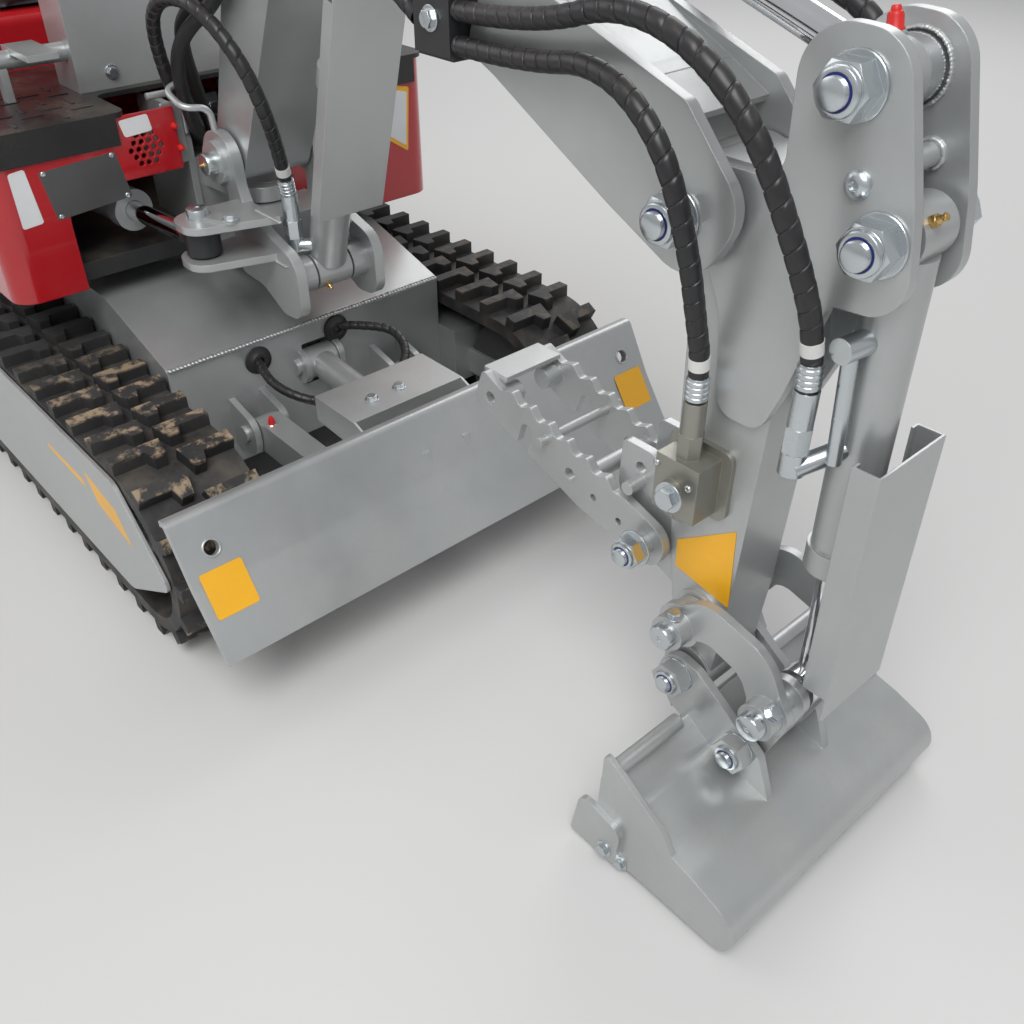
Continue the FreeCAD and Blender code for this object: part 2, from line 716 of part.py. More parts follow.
def engine_block():
    """Engine as one plain block under the hood."""
    low = DECK_LOW + DECK_THICKNESS
    half = ENGINE_WIDTH / 2
    return box(HOUSE_REAR + 60, HOUSE_REAR + 60 + ENGINE_LENGTH, -half, half, low, low + ENGINE_HEIGHT)


def valve_block():
    """Control valve on the upper kingpin plate, under the floor, where the hoses to the boom start."""
    low = UPPER_LUG_Z + LUG_PLATE
    return box(VALVE_FRONT - VALVE_LENGTH, VALVE_FRONT, -VALVE_HALF, VALVE_HALF, low, FLOOR_TOP - 40)


def counterweight():
    """Rear weight whose outer face follows the tail's swing radius."""
    half = HOOD_HALF
    edge_x = -math.sqrt(TAIL_RADIUS**2 - half**2)
    start = Vector(HOUSE_REAR, -half, DECK_LOW)
    side = Vector(min(edge_x, HOUSE_REAR - 2), -half, DECK_LOW)
    wire = Part.Wire(
        [
            Part.LineSegment(Vector(HOUSE_REAR, half, DECK_LOW), start).toShape(),
            Part.LineSegment(start, side).toShape(),
            Part.Arc(side, Vector(-TAIL_RADIUS, 0, DECK_LOW), Vector(side.x, half, DECK_LOW)).toShape(),
            Part.LineSegment(Vector(side.x, half, DECK_LOW), Vector(HOUSE_REAR, half, DECK_LOW)).toShape(),
        ]
    )
    return Part.Face(wire).extrude(Vector(0, 0, 230))


def front_panel():
    """Console in front of the seat, with a turned foot."""
    outer = box(PANEL_X - 90, PANEL_X, -PANEL_HALF, PANEL_HALF, FLOOR_TOP, PANEL_TOP)
    inner = box(PANEL_X - 86, PANEL_X - 4, -PANEL_HALF + 4, PANEL_HALF - 4, FLOOR_TOP - 1, PANEL_TOP - 4)
    return outer.cut(inner)


def lever_shaft():
    """Pedal shaft that leaves the console on both sides, with a foot pedal at each end."""
    z = FLOOR_TOP + 62
    x = PANEL_X - 30
    tube = Part.makeCylinder(15, 135, Vector(x, PANEL_HALF, z), Vector(0, 1, 0))
    stand = box(x - 12, x + 12, PANEL_HALF + 100, PANEL_HALF + 112, FLOOR_TOP, z)
    pedal = box(x - 20, x + 90, PANEL_HALF + 40, PANEL_HALF + 90, z + 10, z + 20)
    side = joined([tube, stand, pedal])
    return Part.makeCompound(both_sides([side]))


def control_levers():
    """Two work levers and two travel levers standing on the console."""
    levers = []
    for y, height, lean in ((150, 190, -30), (45, 160, 10)):
        foot = (PANEL_X - 45, y, PANEL_TOP + 6)
        tip = (PANEL_X - 45 + lean, y, PANEL_TOP + height)
        levers.append(
            joined([bar(foot, tip, 7), upright(foot[0], y, 24, PANEL_TOP, PANEL_TOP + 22),
                    Part.makeCone(17, 21, 52, Vector(tip[0], y, tip[2] - 14))])
        )
    return Part.makeCompound(both_sides(levers))


def seat():
    """Seat cushion and backrest on the hood's step."""
    cushion = prism(
        "xz",
        [
            (SEAT_STEP_X - 20, SEAT_STEP_TOP), (SEAT_STEP_X - 10, SEAT_STEP_TOP + 80, 30),
            (SEAT_STEP_X - 262, SEAT_STEP_TOP + 70), (SEAT_STEP_X - 262, SEAT_STEP_TOP),
        ],
        -SEAT_WIDTH / 2,
        SEAT_WIDTH / 2,
    )
    rest = prism(
        "xz",
        [
            (SEAT_STEP_X - 200, SEAT_STEP_TOP + 60, 10), (SEAT_STEP_X - 262, SEAT_STEP_TOP + 60),
            (SEAT_STEP_X - 290, HOOD_TOP), (SEAT_STEP_X - 306, HOOD_TOP + 150, 20),
            (SEAT_STEP_X - 262, HOOD_TOP + 150, 20),
        ],
        -SEAT_WIDTH / 2 + 10,
        SEAT_WIDTH / 2 - 10,
    )
    return joined([cushion, rest])


def canopy_frame():
    """Two posts bolted to the deck's sides, bent forward under the roof."""
    x = HOUSE_REAR + 110
    post = prism(
        "xz",
        [
            (x - 30, DECK_LOW), (x + 30, DECK_LOW), (x + 30, 1500, 200), (x + 130, 2090, 60),
            (x + 560, ROOF_LOW - 50), (x + 560, ROOF_LOW), (x + 70, ROOF_LOW, 60), (x - 30, 1500, 200),
        ],
        DECK_HALF,
        DECK_HALF + POST_WIDTH,
    )
    tie = box(x + 90, x + 130, -DECK_HALF - 10, DECK_HALF + 10, ROOF_LOW - POST_WIDTH, ROOF_LOW)
    return joined([tie] + both_sides([post]))


def canopy_roof():
    """Roof over the seat."""
    return prism(
        "xy",
        [
            (HOUSE_REAR, -ROOF_HALF, 80), (ROOF_FRONT, -ROOF_HALF, 60),
            (ROOF_FRONT, ROOF_HALF, 60), (HOUSE_REAR, ROOF_HALF, 80),
        ],
        ROOF_LOW,
        ROOF_LOW + ROOF_THICKNESS,
    )


# Swing bracket
def swing_bracket():
    """Two curved side plates on the kingpin tube, with the swing ears and the pins."""
    foot = BOOM_FOOT
    nose = BOOM_CYLINDER_FOOT
    low = LOWER_LUG_Z
    side = prism(
        "xz",
        [
            (foot[0] - 48, foot[1] - 34, 30),
            (foot[0] - 48, foot[1] + 48, 46),
            (foot[0] + 48, foot[1] + 48, 46),
            (foot[0] + 52, foot[1] - 56, 60),
            (nose[0] - 30, nose[1] + 66, 60),
            (nose[0] + 46, nose[1] + 44, 40),
            (nose[0] + 46, nose[1] - 58, 30),
            (nose[0] - 10, nose[1] - 63, 30),
            (nose[0] - 70, nose[1] - 31, 40),
            (KINGPIN_X + 30, low + 8, 20),
            (KINGPIN_X + 30, foot[1] - 42, 4),
        ],
        BRACKET_INNER,
        BRACKET_INNER + BRACKET_PLATE,
    )
    tube_low = LOWER_LUG_Z + LUG_PLATE + 3
    tube_high = UPPER_LUG_Z - 3
    tube = upright(KINGPIN_X, 0, 45, tube_low, tube_high)
    web = box(KINGPIN_X + 20, KINGPIN_X + 110, -BRACKET_INNER, BRACKET_INNER, tube_low, tube_high)
    brace = across((nose[0] - 126, nose[1] + 23), 26, -BRACKET_INNER, BRACKET_INNER)
    ears = []
    for z in (EAR_Z - 36, EAR_Z + 24):
        ears.append(
            prism(
                "xy",
                [
                    (EAR_X - 38, EAR_Y - 38, 37),
                    (EAR_X + 38, EAR_Y - 38, 34),
                    (EAR_X + 79, -BRACKET_INNER - 4),
                    (EAR_X - 36, -BRACKET_INNER - 4),
                ],
                z,
                z + 12,
            )
        )
    heads = [
        upright(EAR_X, EAR_Y, 17, EAR_Z + 36, EAR_Z + 52),
        upright(EAR_X, EAR_Y, 20, EAR_Z - 46, EAR_Z - 36),
        prism(
            "xy",
            [(EAR_X - 20, EAR_Y - 22, 10), (EAR_X + 66, EAR_Y + 22, 12), (EAR_X + 54, EAR_Y + 46, 12),
             (EAR_X - 24, EAR_Y + 20, 10)],
            EAR_Z + 36,
            EAR_Z + 41,
        ),
    ]
    outside = BRACKET_INNER + BRACKET_PLATE
    pins = [
        across(foot, PIN_RADIUS, -outside, outside),
        across(nose, PIN_RADIUS, -outside, outside),
    ]
    bosses = both_sides([across(foot, 34, outside, outside + 10), across(nose, 30, 36, BRACKET_INNER)])
    bracket = joined([tube, web, brace] + both_sides([side]) + ears + heads)
    bracket = bracket.cut(upright(KINGPIN_X, 0, KINGPIN_RADIUS + RUNNING_GAP, 400, 700))
    return joined([bracket] + pins + bosses)


# Boom
def band(points, halves, outer_radius, inner_radius):
    """Outline of a two-segment beam: half depth at its start, bend and end."""
    start, bend, end = points
    first = [toward(start, bend, -halves[0] * 0.6, side * halves[0]) for side in (1, -1)]
    last = [toward(bend, end, gap(bend, end), side * halves[2]) for side in (1, -1)]
    a = math.atan2(bend[1] - start[1], bend[0] - start[0])
    b = math.atan2(end[1] - bend[1], end[0] - bend[0])
    middle = (a + b) / 2 + math.pi / 2
    reach = halves[1] / math.cos((a - b) / 2)
    outer = (bend[0] + reach * math.cos(middle), bend[1] + reach * math.sin(middle), outer_radius)
    inner = (bend[0] - reach * math.cos(middle), bend[1] - reach * math.sin(middle), inner_radius)
    return [first[0] + (halves[0] * 0.7,), outer, last[0], last[1], inner, first[1] + (halves[0] * 0.7,)]


def boom():
    """Box-section boom with its fork cheeks, end plate, cylinder lugs and pins."""
    end = toward(ARM_PIVOT, BOOM_BEND, BOX_END, -END_RISE)
    beam = prism("xz", band((BOOM_FOOT, BOOM_BEND, end), BOOM_DEPTHS, 150, 60), -BOOM_HALF, BOOM_HALF)
    foot_bore = across(BOOM_FOOT, PIN_RADIUS + RUNNING_GAP, -200, 200)
    back = toward(ARM_PIVOT, BOOM_BEND, 330)
    top = BOOM_DEPTHS[2] + END_RISE
    cheek = prism(
        "xz",
        [
            toward(back, ARM_PIVOT, 0, top - 14) + (20,),
            toward(back, ARM_PIVOT, 282, top + 18) + (20,),
            toward(back, ARM_PIVOT, 392, 54) + (46,),
            toward(back, ARM_PIVOT, 386, -50) + (50,),
            toward(back, ARM_PIVOT, 250, -50) + (200,),
            toward(back, ARM_PIVOT, 0, -40) + (20,),
        ],
        BOOM_HALF,
        BOOM_HALF + CHEEK_PLATE,
    )
    roof = prism(
        "xz",
        [
            toward(ARM_PIVOT, BOOM_BEND, BOX_END + 20, -top), toward(ARM_PIVOT, BOOM_BEND, 46, -top + 2),
            toward(ARM_PIVOT, BOOM_BEND, 46, -top + 10), toward(ARM_PIVOT, BOOM_BEND, BOX_END - 1, -top + 12),
            toward(ARM_PIVOT, BOOM_BEND, BOX_END + 20, -top + 12),
        ],
        -BOOM_HALF,
        BOOM_HALF,
    )
    pin = BOOM_ROD_PIN
    lug_plate = prism(
        "xz",
        [
            (pin[0] - 34, pin[1] - 32, 30), (pin[0] + 34, pin[1] - 32, 30),
            (pin[0] + 42, pin[1] + 100), (pin[0] - 46, pin[1] + 100),
        ],
        34,
        46,
    )
    base = ARM_CYLINDER_BASE
    bracket = prism(
        "xz",
        [
            (base[0] - 34, base[1] + 32, 30), (base[0] + 30, base[1] + 32, 30),
            (base[0] + 60, base[1] - 90), (base[0] - 90, base[1] - 50),
        ],
        34,
        48,
    )
    outside = BOOM_HALF + CHEEK_PLATE
    pins = [across(ARM_PIVOT, PIN_RADIUS, -outside, outside), across(base, PIN_RADIUS, -48, 48)]
    heads = [
        nut(ARM_PIVOT, outside, outside + NUT_LENGTH),
        across(pin, 18, 46, 58),
        across(base, 20, 48, 60),
    ]
    return joined([beam, roof] + both_sides([cheek, lug_plate, bracket] + heads) + pins).cut(foot_bore)


def hose_clamps():
    """Blocks that hold the arm's hoses on the boom's sides."""
    at = toward(BOOM_BEND, ARM_PIVOT, CLAMP_PLACE)
    rear, front = at[0] - CLAMP_LENGTH / 2, at[0] + CLAMP_LENGTH / 2
    outer = BOOM_HALF + CLAMP_DEPTH
    block = box(rear, front, BOOM_HALF, outer, at[1] - 72, at[1] + 14)
    plate = box(rear, front, outer, outer + 5, at[1] - 68, at[1] + 10)
    return Part.makeCompound(both_sides([joined([block, plate])]))


# Arm
def arm():
    """Arm box with its two head plates, cross bar, bosses, thumb lugs and pins."""
    pivot = ARM_PIVOT
    box_part = prism(
        "xz",
        [
            (pivot[0], pivot[1] + 58, 12),
            (pivot[0] + 104, pivot[1] + 58, 12),
            (pivot[0] + 126, pivot[1] - 130, 200),
            (ARM_TIP[0] + 43, ARM_TIP[1] + 130, 100),
            (ARM_TIP[0] + 32, ARM_TIP[1] - 4, 20),
            (ARM_TIP[0] - 34, ARM_TIP[1] - 6, 20),
            (ARM_TIP[0] - 40, ARM_TIP[1] + 90, 100),
            (pivot[0] + 14, pivot[1] - 390, 200),
        ],
        -ARM_HALF,
        ARM_HALF,
    )
    rod, base = ARM_ROD_PIN, BUCKET_CYLINDER_BASE
    head = prism(
        "xz",
        [
            (pivot[0] + 10, pivot[1] + 52, 10),
            (pivot[0] + 97, pivot[1] + 54, 24),
            (rod[0] - 60, rod[1] + 48, 46),
            (rod[0] + 38, rod[1] + 44, 46),
            (base[0] + 26, base[1] + 30, 200),
            (base[0] + 42, base[1] - 62, 38),
            (base[0] - 35, base[1] - 68, 14),
            (pivot[0] + 136, pivot[1] - 152, 60),
            (pivot[0] + 116, pivot[1] - 204, 26),
            (pivot[0] + 60, pivot[1] - 204, 26),
            (pivot[0] + 48, pivot[1] - 92, 60),
            (pivot[0] + 10, pivot[1] - 20, 30),
        ],
        HEAD_PLATE_IN,
        HEAD_PLATE_OUT,
    )
    pieces = [
        box_part,
        across(pivot, 56, -BOOM_HALF + 3, BOOM_HALF - 3),
        across(ARM_TIP, 36, -LINK_OUT, LINK_OUT),
        across(base, PIN_RADIUS, -HEAD_PLATE_OUT, HEAD_PLATE_OUT),
        across((base[0] - 17, base[1] + 55), 11, -HEAD_PLATE_OUT, HEAD_PLATE_OUT),
        across(ROCKER_BASE, 32, -HEAD_PLATE_OUT, HEAD_PLATE_OUT),
        across(ROCKER_BASE, PIN_RADIUS, -ROCKER_OUT - 22, ROCKER_OUT + 22),
    ]
    hinge = THUMB_HINGE
    lug_plate = prism(
        "xz",
        [
            (hinge[0] - 30, hinge[1] - 30, 28), (hinge[0] - 68, hinge[1] + 46, 30),
            (hinge[0] - 66, hinge[1] + 112, 8), (hinge[0] - 14, hinge[1] + 112, 30),
            (hinge[0] + 60, hinge[1] + 40), (hinge[0] + 70, hinge[1] - 70),
        ],
        28,
        40,
    ).cut(across((hinge[0] - 34, hinge[1] + 84), 8, 20, 50))
    pieces.append(across(hinge, PIN_RADIUS, -78, 78))
    pieces.append(across((hinge[0] - 32, hinge[1] + 66), 9, -66, 66))
    sided = [
        head,
        lug_plate,
        nut(rod, HEAD_PLATE_OUT, HEAD_PLATE_OUT + NUT_LENGTH),
        nut(base, HEAD_PLATE_OUT, HEAD_PLATE_OUT + NUT_LENGTH),
    ]
    bores = [across(pivot, PIN_RADIUS + RUNNING_GAP, -200, 200), across(ARM_TIP, PIN_RADIUS + RUNNING_GAP, -200, 200)]
    return joined(pieces + both_sides(sided)).cut(bores[0]).cut(bores[1])


def fitting(foot, length=FITTING_LENGTH):
    """Hexagonal coupling and crimped sleeve that stand on a port, upwards, with the hose's end on top."""
    x, y, z = foot
    corners = [
        (x + FITTING_HEX * math.cos(math.radians(60 * i)), y + FITTING_HEX * math.sin(math.radians(60 * i)))
        for i in range(6)
    ]
    coupling = prism("xy", corners, z, z + 0.42 * length)
    sleeve = upright(x, y, FITTING_SLEEVE, z + 0.42 * length, z + length)
    return joined([coupling, sleeve])


def port_block():
    """Hose port block on its pad at the arm's right face, with a plug and a hose fitting."""
    x, z = PORT_BLOCK
    side = -ARM_HALF
    pad = prism(
        "xz",
        [(x - 14, z - 10, 14), (x + 74, z - 10, 14), (x + 74, z + 82, 14), (x - 14, z + 82, 14)],
        side - 7,
        side,
    )
    block = box(x, x + 60, side - 47, side - 7, z, z + 72)
    plug = across((x + 26, z + 34), 13, side - 62, side - 47)
    below = upright(x + 30, side - 28, 11, z - 12, z)
    return joined([pad, block, plug, below, fitting((x + 29, side - 27, z + 72))])


def bucket_ports(barrel):
    """Ports of the bucket cylinder: a pipe along the barrel to the right fitting, and the left fitting."""
    x, y, z = BUCKET_PORT
    top = BUCKET_CYLINDER_BASE[1] - 101
    knob = bar((1489, -20, top), (1483, -62, top), 13)
    pipe = bar((1486, -48, top), (1492, -44, z - 6), 8)
    sides = []
    for side in (-1, 1):
        cross = bar((x + 4, side * (y + 4), z - 18), (1492, side * 20, z + 2), 11)
        stem = upright(x, side * y, 14, z - 26, z)
        sides.append([cross, stem, fitting((x, side * y, z))])
    right = joined([knob, pipe] + sides[0]).cut(barrel)
    left = joined(sides[1]).cut(barrel)
    return Part.makeCompound([right, left])


def boom_ports(barrel):
    """Ports of the boom cylinder, on both sides of its foot end."""
    x, y, z = BOOM_PORT
    neck = bar((x + 26, 10, z - 14), (x, y, z - 14), 11)
    foot = upright(x, y, 12, z - 22, z)
    whole = joined([neck, foot, fitting((x, y, z))]).cut(barrel)
    side = max(whole.Solids, key=lambda solid: solid.Volume)
    return Part.makeCompound(both_sides([side]))


# Bucket linkage
def rocker():
    """Two curved plates with bosses; the rod's pin is a stub on each side."""
    base, end = ROCKER_BASE, ROCKER_END
    reach = gap(base, end)
    plate = prism(
        "xz",
        [
            toward(base, end, -22, 10),
            toward(base, end, 14, 66) + (50,),
            toward(base, end, 112, 72) + (60,),
            toward(base, end, reach + 24, 14),
            toward(base, end, reach - 10, -26),
            toward(base, end, 96, 16) + (34,),
            toward(base, end, 40, 14) + (30,),
            toward(base, end, 4, -28),
        ],
        ROCKER_IN,
        ROCKER_OUT,
    )
    plate = joined([plate, across(base, 30, ROCKER_IN, ROCKER_OUT), across(end, 29, ROCKER_IN, ROCKER_OUT)])
    boss = across(base, 26, HEAD_PLATE_OUT + 1, ROCKER_IN)
    collar = across(base, 23, ROCKER_OUT, ROCKER_OUT + 22)
    side = joined([plate, boss, collar]).cut(across(base, PIN_RADIUS + RUNNING_GAP, 0, 200))
    stub = joined([side, across(end, PIN_RADIUS, 30, ROCKER_OUT), across(end, 24, ROCKER_OUT, ROCKER_OUT + 22)])
    return Part.makeCompound(both_sides([stub]))


def bucket_link():
    """Pair of link plates joined by the tube at their lower end."""
    top, low = ROCKER_END, BUCKET_LINK_PIN
    plate = prism(
        "xz",
        [
            toward(top, low, -28, -28) + (27,),
            toward(top, low, -28, 28) + (27,),
            toward(top, low, gap(top, low) + 26, 26) + (25,),
            toward(top, low, gap(top, low) + 26, -26) + (25,),
        ],
        LINK_IN,
        LINK_OUT,
    ).cut(across(top, PIN_RADIUS + RUNNING_GAP, 0, 200))
    return joined([across(low, 24, -LINK_OUT, LINK_OUT)] + both_sides([plate]))


def bucket():
    """Curled shell with side plates, rim rolls, ears, side cutters and the arm-tip pin."""
    floor = BUCKET_FLOOR_Z
    rear = ARM_TIP[0] + 18
    sheet = BUCKET_SHEET
    crown = ARM_TIP[1] - 52
    profile = [
        (rear, crown, 6),
        (rear + 50, crown - 32, 30),
        (rear + 150, crown - 54, 110),
        (rear + 232, floor + 60, 40),
        (rear + 205, floor, 22),
        (rear - 6, floor),
    ]
    inner = [
        (rear - 20, crown - sheet),
        (rear + 48, crown - 32 - sheet, 26),
        (rear + 146, crown - 54 - sheet, 102),
        (rear + 230 - sheet, floor + 60, 34),
        (rear + 203 - sheet, floor + sheet, 16),
        (rear - 20, floor + sheet),
    ]
    shell = prism("xz", profile, -BUCKET_HALF, BUCKET_HALF)
    room = prism("xz", inner, -BUCKET_HALF + sheet, BUCKET_HALF - sheet)
    cheek = prism(
        "xz",
        [(rear, crown - 20), (rear + 2, crown + 36, 5), (rear + 22, crown + 28, 10), (rear + 100, crown - 20, 40),
         (rear + 120, crown - 50)],
        BUCKET_HALF - sheet,
        BUCKET_HALF,
    )
    roll = across((rear + 13, crown + 10), 11, EAR_OUT + 30, BUCKET_HALF)
    tip, link = ARM_TIP, BUCKET_LINK_PIN
    ear = prism(
        "xz",
        [
            (tip[0] - 34, tip[1] - 20, 30),
            (tip[0] - 20, tip[1] + 34, 32),
            (tip[0] + 30, tip[1] + 24, 32),
            (link[0] - 4, link[1] + 28, 24),
            (link[0] + 30, link[1] + 10, 26),
            (link[0] + 60, link[1] - 66),
            (tip[0] + 24, tip[1] - 100),
        ],
        EAR_IN,
        EAR_OUT,
    )
    nuts = [nut(tip, EAR_OUT, EAR_OUT + NUT_LENGTH), nut(link, EAR_OUT, EAR_OUT + NUT_LENGTH)]
    cutter = prism(
        "xz",
        [(rear - 40, floor, 6), (rear + 40, floor, 10), (rear + 44, floor + 70, 20), (rear - 26, floor + 84, 16)],
        BUCKET_HALF,
        BUCKET_HALF + 8,
    )
    pin = across(tip, PIN_RADIUS, -EAR_OUT, EAR_OUT)
    return joined([shell, pin] + both_sides([ear, cutter, cheek, roll] + nuts)).cut(room)


def thumb():
    """Double serrated plates on a hinge boss, joined by tubes, a tip plate and a cross pin."""
    hinge, tip = THUMB_HINGE, THUMB_TIP
    length = gap(hinge, tip)
    corners = [toward(hinge, tip, -30, 30) + (29,), toward(hinge, tip, -30, -30) + (29,)]
    for along, across_line, radius in THUMB_EDGE:
        corners.append(toward(hinge, tip, along, across_line) + (radius,))
    plate = prism("xz", corners, THUMB_IN, THUMB_OUT)
    plate = plate.cut(across(hinge, PIN_RADIUS + RUNNING_GAP, 0, 200))
    for along, aside, radius in THUMB_HOLES:
        plate = plate.cut(across(toward(hinge, tip, along, aside), radius, 0, 200))
    ties = [
        across(toward(hinge, tip, 190, -14), 7, -THUMB_OUT - 14, THUMB_OUT + 14),
        across(toward(hinge, tip, 112, -16), 12, -THUMB_IN, THUMB_IN),
        box(tip[0] - 2, tip[0] + 44, -THUMB_IN, THUMB_IN, tip[1] + 20, tip[1] + 26),
    ]
    bosses = both_sides([across(toward(hinge, tip, length - 36, -4), 15, 22, THUMB_IN)])
    return joined(ties + both_sides([plate]) + bosses)


# Hydraulic cylinders: pins, barrel radius and length, rod radius, closing stroke,
# half width of the eyes, radii of the base eye and the rod eye
CYLINDERS = {
    "blade": (BLADE_CYLINDER_BASE, BLADE_ROD_PIN, 26.0, 200.0, 13.0, 20.0, 29.0, 28.0, 26.0),
    "boom": (BOOM_CYLINDER_FOOT, BOOM_ROD_PIN, 31.0, 350.0, 16.0, 90.0, 32.0, 30.0, 28.0),
    "arm": (ARM_CYLINDER_BASE, ARM_ROD_PIN, 31.0, 400.0, 16.0, 240.0, 32.0, 30.0, 30.0),
    "bucket": (BUCKET_CYLINDER_BASE, ROCKER_END, 30.0, 380.0, 15.0, 150.0, 28.0, 30.0, 26.0),
}


# The same sizes for the swing cylinder, which lies flat
SWING_CYLINDER = (31.0, 405.0, 16.0, 150.0, 20.0, 30.0, 28.0)


def work_cylinder(name):
    """Barrel and rod of one cylinder in its parked place."""
    start, end, radius, length, rod, closing, half, base_eye, rod_eye = CYLINDERS[name]
    parts = cylinder_parts(gap(start, end), radius, length, rod, closing, half, base_eye, rod_eye)
    return [aimed(part, start, end) for part in parts]


def swing_cylinder():
    """Swing cylinder, lying on its side beside the kingpin."""
    length = math.hypot(EAR_X - SWING_BASE[0], EAR_Y - SWING_BASE[1])
    angle = math.degrees(math.atan2(EAR_Y - SWING_BASE[1], EAR_X - SWING_BASE[0]))
    parts = cylinder_parts(length, *SWING_CYLINDER)
    placed = []
    for part in parts:
        copy = part.copy()
        flat = Rotation(Vector(1, 0, 0), 90)
        copy.Placement = Placement(
            Vector(SWING_BASE[0], SWING_BASE[1], EAR_Z), Rotation(Vector(0, 0, 1), angle).multiply(flat)
        )
        placed.append(copy)
    return placed


def guard(name, start_share, front, back, side):
    """Channel guard carried by a rod's eye, on one side (1 or -1) of the cylinder's line."""
    start, end = CYLINDERS[name][0], CYLINDERS[name][1]
    rod_eye = CYLINDERS[name][8]
    length = gap(start, end)
    shape = channel(length * start_share, length - 14, length - 46, front, back, GUARD_OUT, GUARD_SHEET, 12)
    yoke = box(length - 28, length - 14, -GUARD_YOKE, GUARD_YOKE, rod_eye - 10, front)
    yoke = yoke.cut(across((length, 0), rod_eye + RUNNING_GAP, -GUARD_OUT, GUARD_OUT))
    whole = joined([shape, yoke])
    if side < 0:
        whole = whole.mirror(Vector(0, 0, 0), Vector(0, 0, 1))
    return aimed(whole, start, end)


# Hoses
def hose(name, points, tube_radius):
    """Tube along straight runs joined by tangent arcs."""
    places = [Vector(*point) for point in points]
    edges = []
    position = places[0]
    radii = []
    for before, corner, after in zip(places, places[1:], places[2:]):
        back, ahead = before - corner, after - corner
        reach = HOSE_SHARE * min(back.Length, ahead.Length)
        back.normalize()
        ahead.normalize()
        half = back.getAngle(ahead) / 2
        radius = reach * math.tan(half)
        middle_way = (back + ahead).normalize()
        start, finish = corner + back * reach, corner + ahead * reach
        middle = corner + middle_way * (reach / math.cos(half) - radius)
        edges.append(Part.LineSegment(position, start).toShape())
        edges.append(Part.Arc(start, middle, finish).toShape())
        position = finish
        radii.append(round(radius))
    edges.append(Part.LineSegment(position, places[-1]).toShape())
    wire = Part.Wire(edges)
    print(f"{name} length {wire.Length:.0f} bend radii {radii}")
    section = Part.Wire([Part.makeCircle(tube_radius, places[0], places[1] - places[0])])
    return wire.makePipeShell([section], True, True)


def hoses(group):
    """All hoses of a group as one compound."""
    radius, runs = HOSES[group]
    return Part.makeCompound([hose(f"{group} {i + 1}", points, radius) for i, points in enumerate(runs)])


# Hoses: tube radius, then one route (x, y, z) per hose
HOSES = {
    "hoses_blade": (THIN_HOSE_RADIUS, [
        [(434, -120, 304), (480, -136, 303), (534, -138, 296), (578, -112, 284), (594, -70, 270), (594, -35, 260)],
        [(437, 51, 317), (493, 106, 320), (536, 115, 310), (576, 98, 296), (598, 61, 280), (598, 33, 266)],
    ]),
    "hoses_house": (HOSE_RADIUS, [
        [(90, -34, 596), (160, -36, 604), (218, -48, 628), (260, -80, 664), (282, -96, 715)],
        [(90, -6, 596), (156, -8, 602), (214, -22, 634), (246, -52, 690), (262, -68, 745)],
        [(90, -34, 632), (150, -36, 644), (200, -54, 668), (236, -93, 706), (258, -110, 758)],
        [(90, 34, 596), (160, 36, 604), (218, 48, 628), (260, 80, 664), (282, 96, 715)],
        [(90, 34, 632), (150, 36, 644), (200, 54, 668), (236, 93, 706), (258, 110, 758)],
    ]),
    "hoses_riser": (HOSE_RADIUS, [
        [(282, -96, 715), (302.9, -111.2, 763.45), (352, -108, 822), (420, -80, 868), (466, -76, 926)],
        [(262, -68, 745), (278, -84, 800), (330, -88, 846), (398, -80, 874), (445, -76, 945)],
        [(282, 96, 715), (302.9, 111.2, 763.45), (352, 108, 822), (420, 80, 868), (466, 76, 926)],
    ]),
    "hoses_boom": (HOSE_RADIUS, [
        [(466, -76, 926), (502.8, -72.8, 972.4), (562, -75, 1036), (650, -77, 1048), (775, -81, 984), (912, -91, 919)],
        [(445, -76, 945), (477.9, -73.2, 994.7), (545, -76, 1070), (640, -77, 1084), (775, -81, 1016), (912, -91, 952)],
        [(466, 76, 926), (502.8, 72.8, 972.4), (562, 75, 1036), (650, 77, 1048), (775, 81, 984), (912, 91, 919)],
    ]),
    "hoses_arm": (HOSE_RADIUS, [
        [(980.8, -91, 899), (1100, -98, 903), (1210, -112, 925), (1300, -122, 880), (1334, -108, 780),
         (1338, -88, 700), (1337, -71, 650), (1337, -71, 604)],
        [(981.2, -91, 934), (1110, -104, 940), (1262, -124, 986), (1386, -124, 930), (1446, -96, 800),
         (1458, -62, 712), (1458, -62, 666)],
        [(982, 91, 916), (1110, 104, 944), (1262, 124, 990), (1386, 124, 930), (1446, 96, 800),
         (1458, 62, 712), (1458, 62, 666)],
    ]),
    "hoses_boom_cylinder": (HOSE_RADIUS, [
        [(489, -47, 596), (503, -60, 654), (534, -90, 732), (524, -114, 812), (452, -130, 874),
         (362, -138, 876), (286.6, -132.1, 825.6), (258, -110, 758)],
        [(489, 47, 596), (503, 60, 654), (534, 90, 732), (524, 114, 812), (452, 130, 874),
         (362, 138, 876), (286.6, 132.1, 825.6), (258, 110, 758)],
    ]),
}

blade_barrel, blade_rod = work_cylinder("blade")
boom_barrel, boom_rod = work_cylinder("boom")
arm_barrel, arm_rod = work_cylinder("arm")
bucket_barrel, bucket_rod = work_cylinder("bucket")
swing_barrel, swing_rod = swing_cylinder()

right_track = track()
right_frame = side_frame()

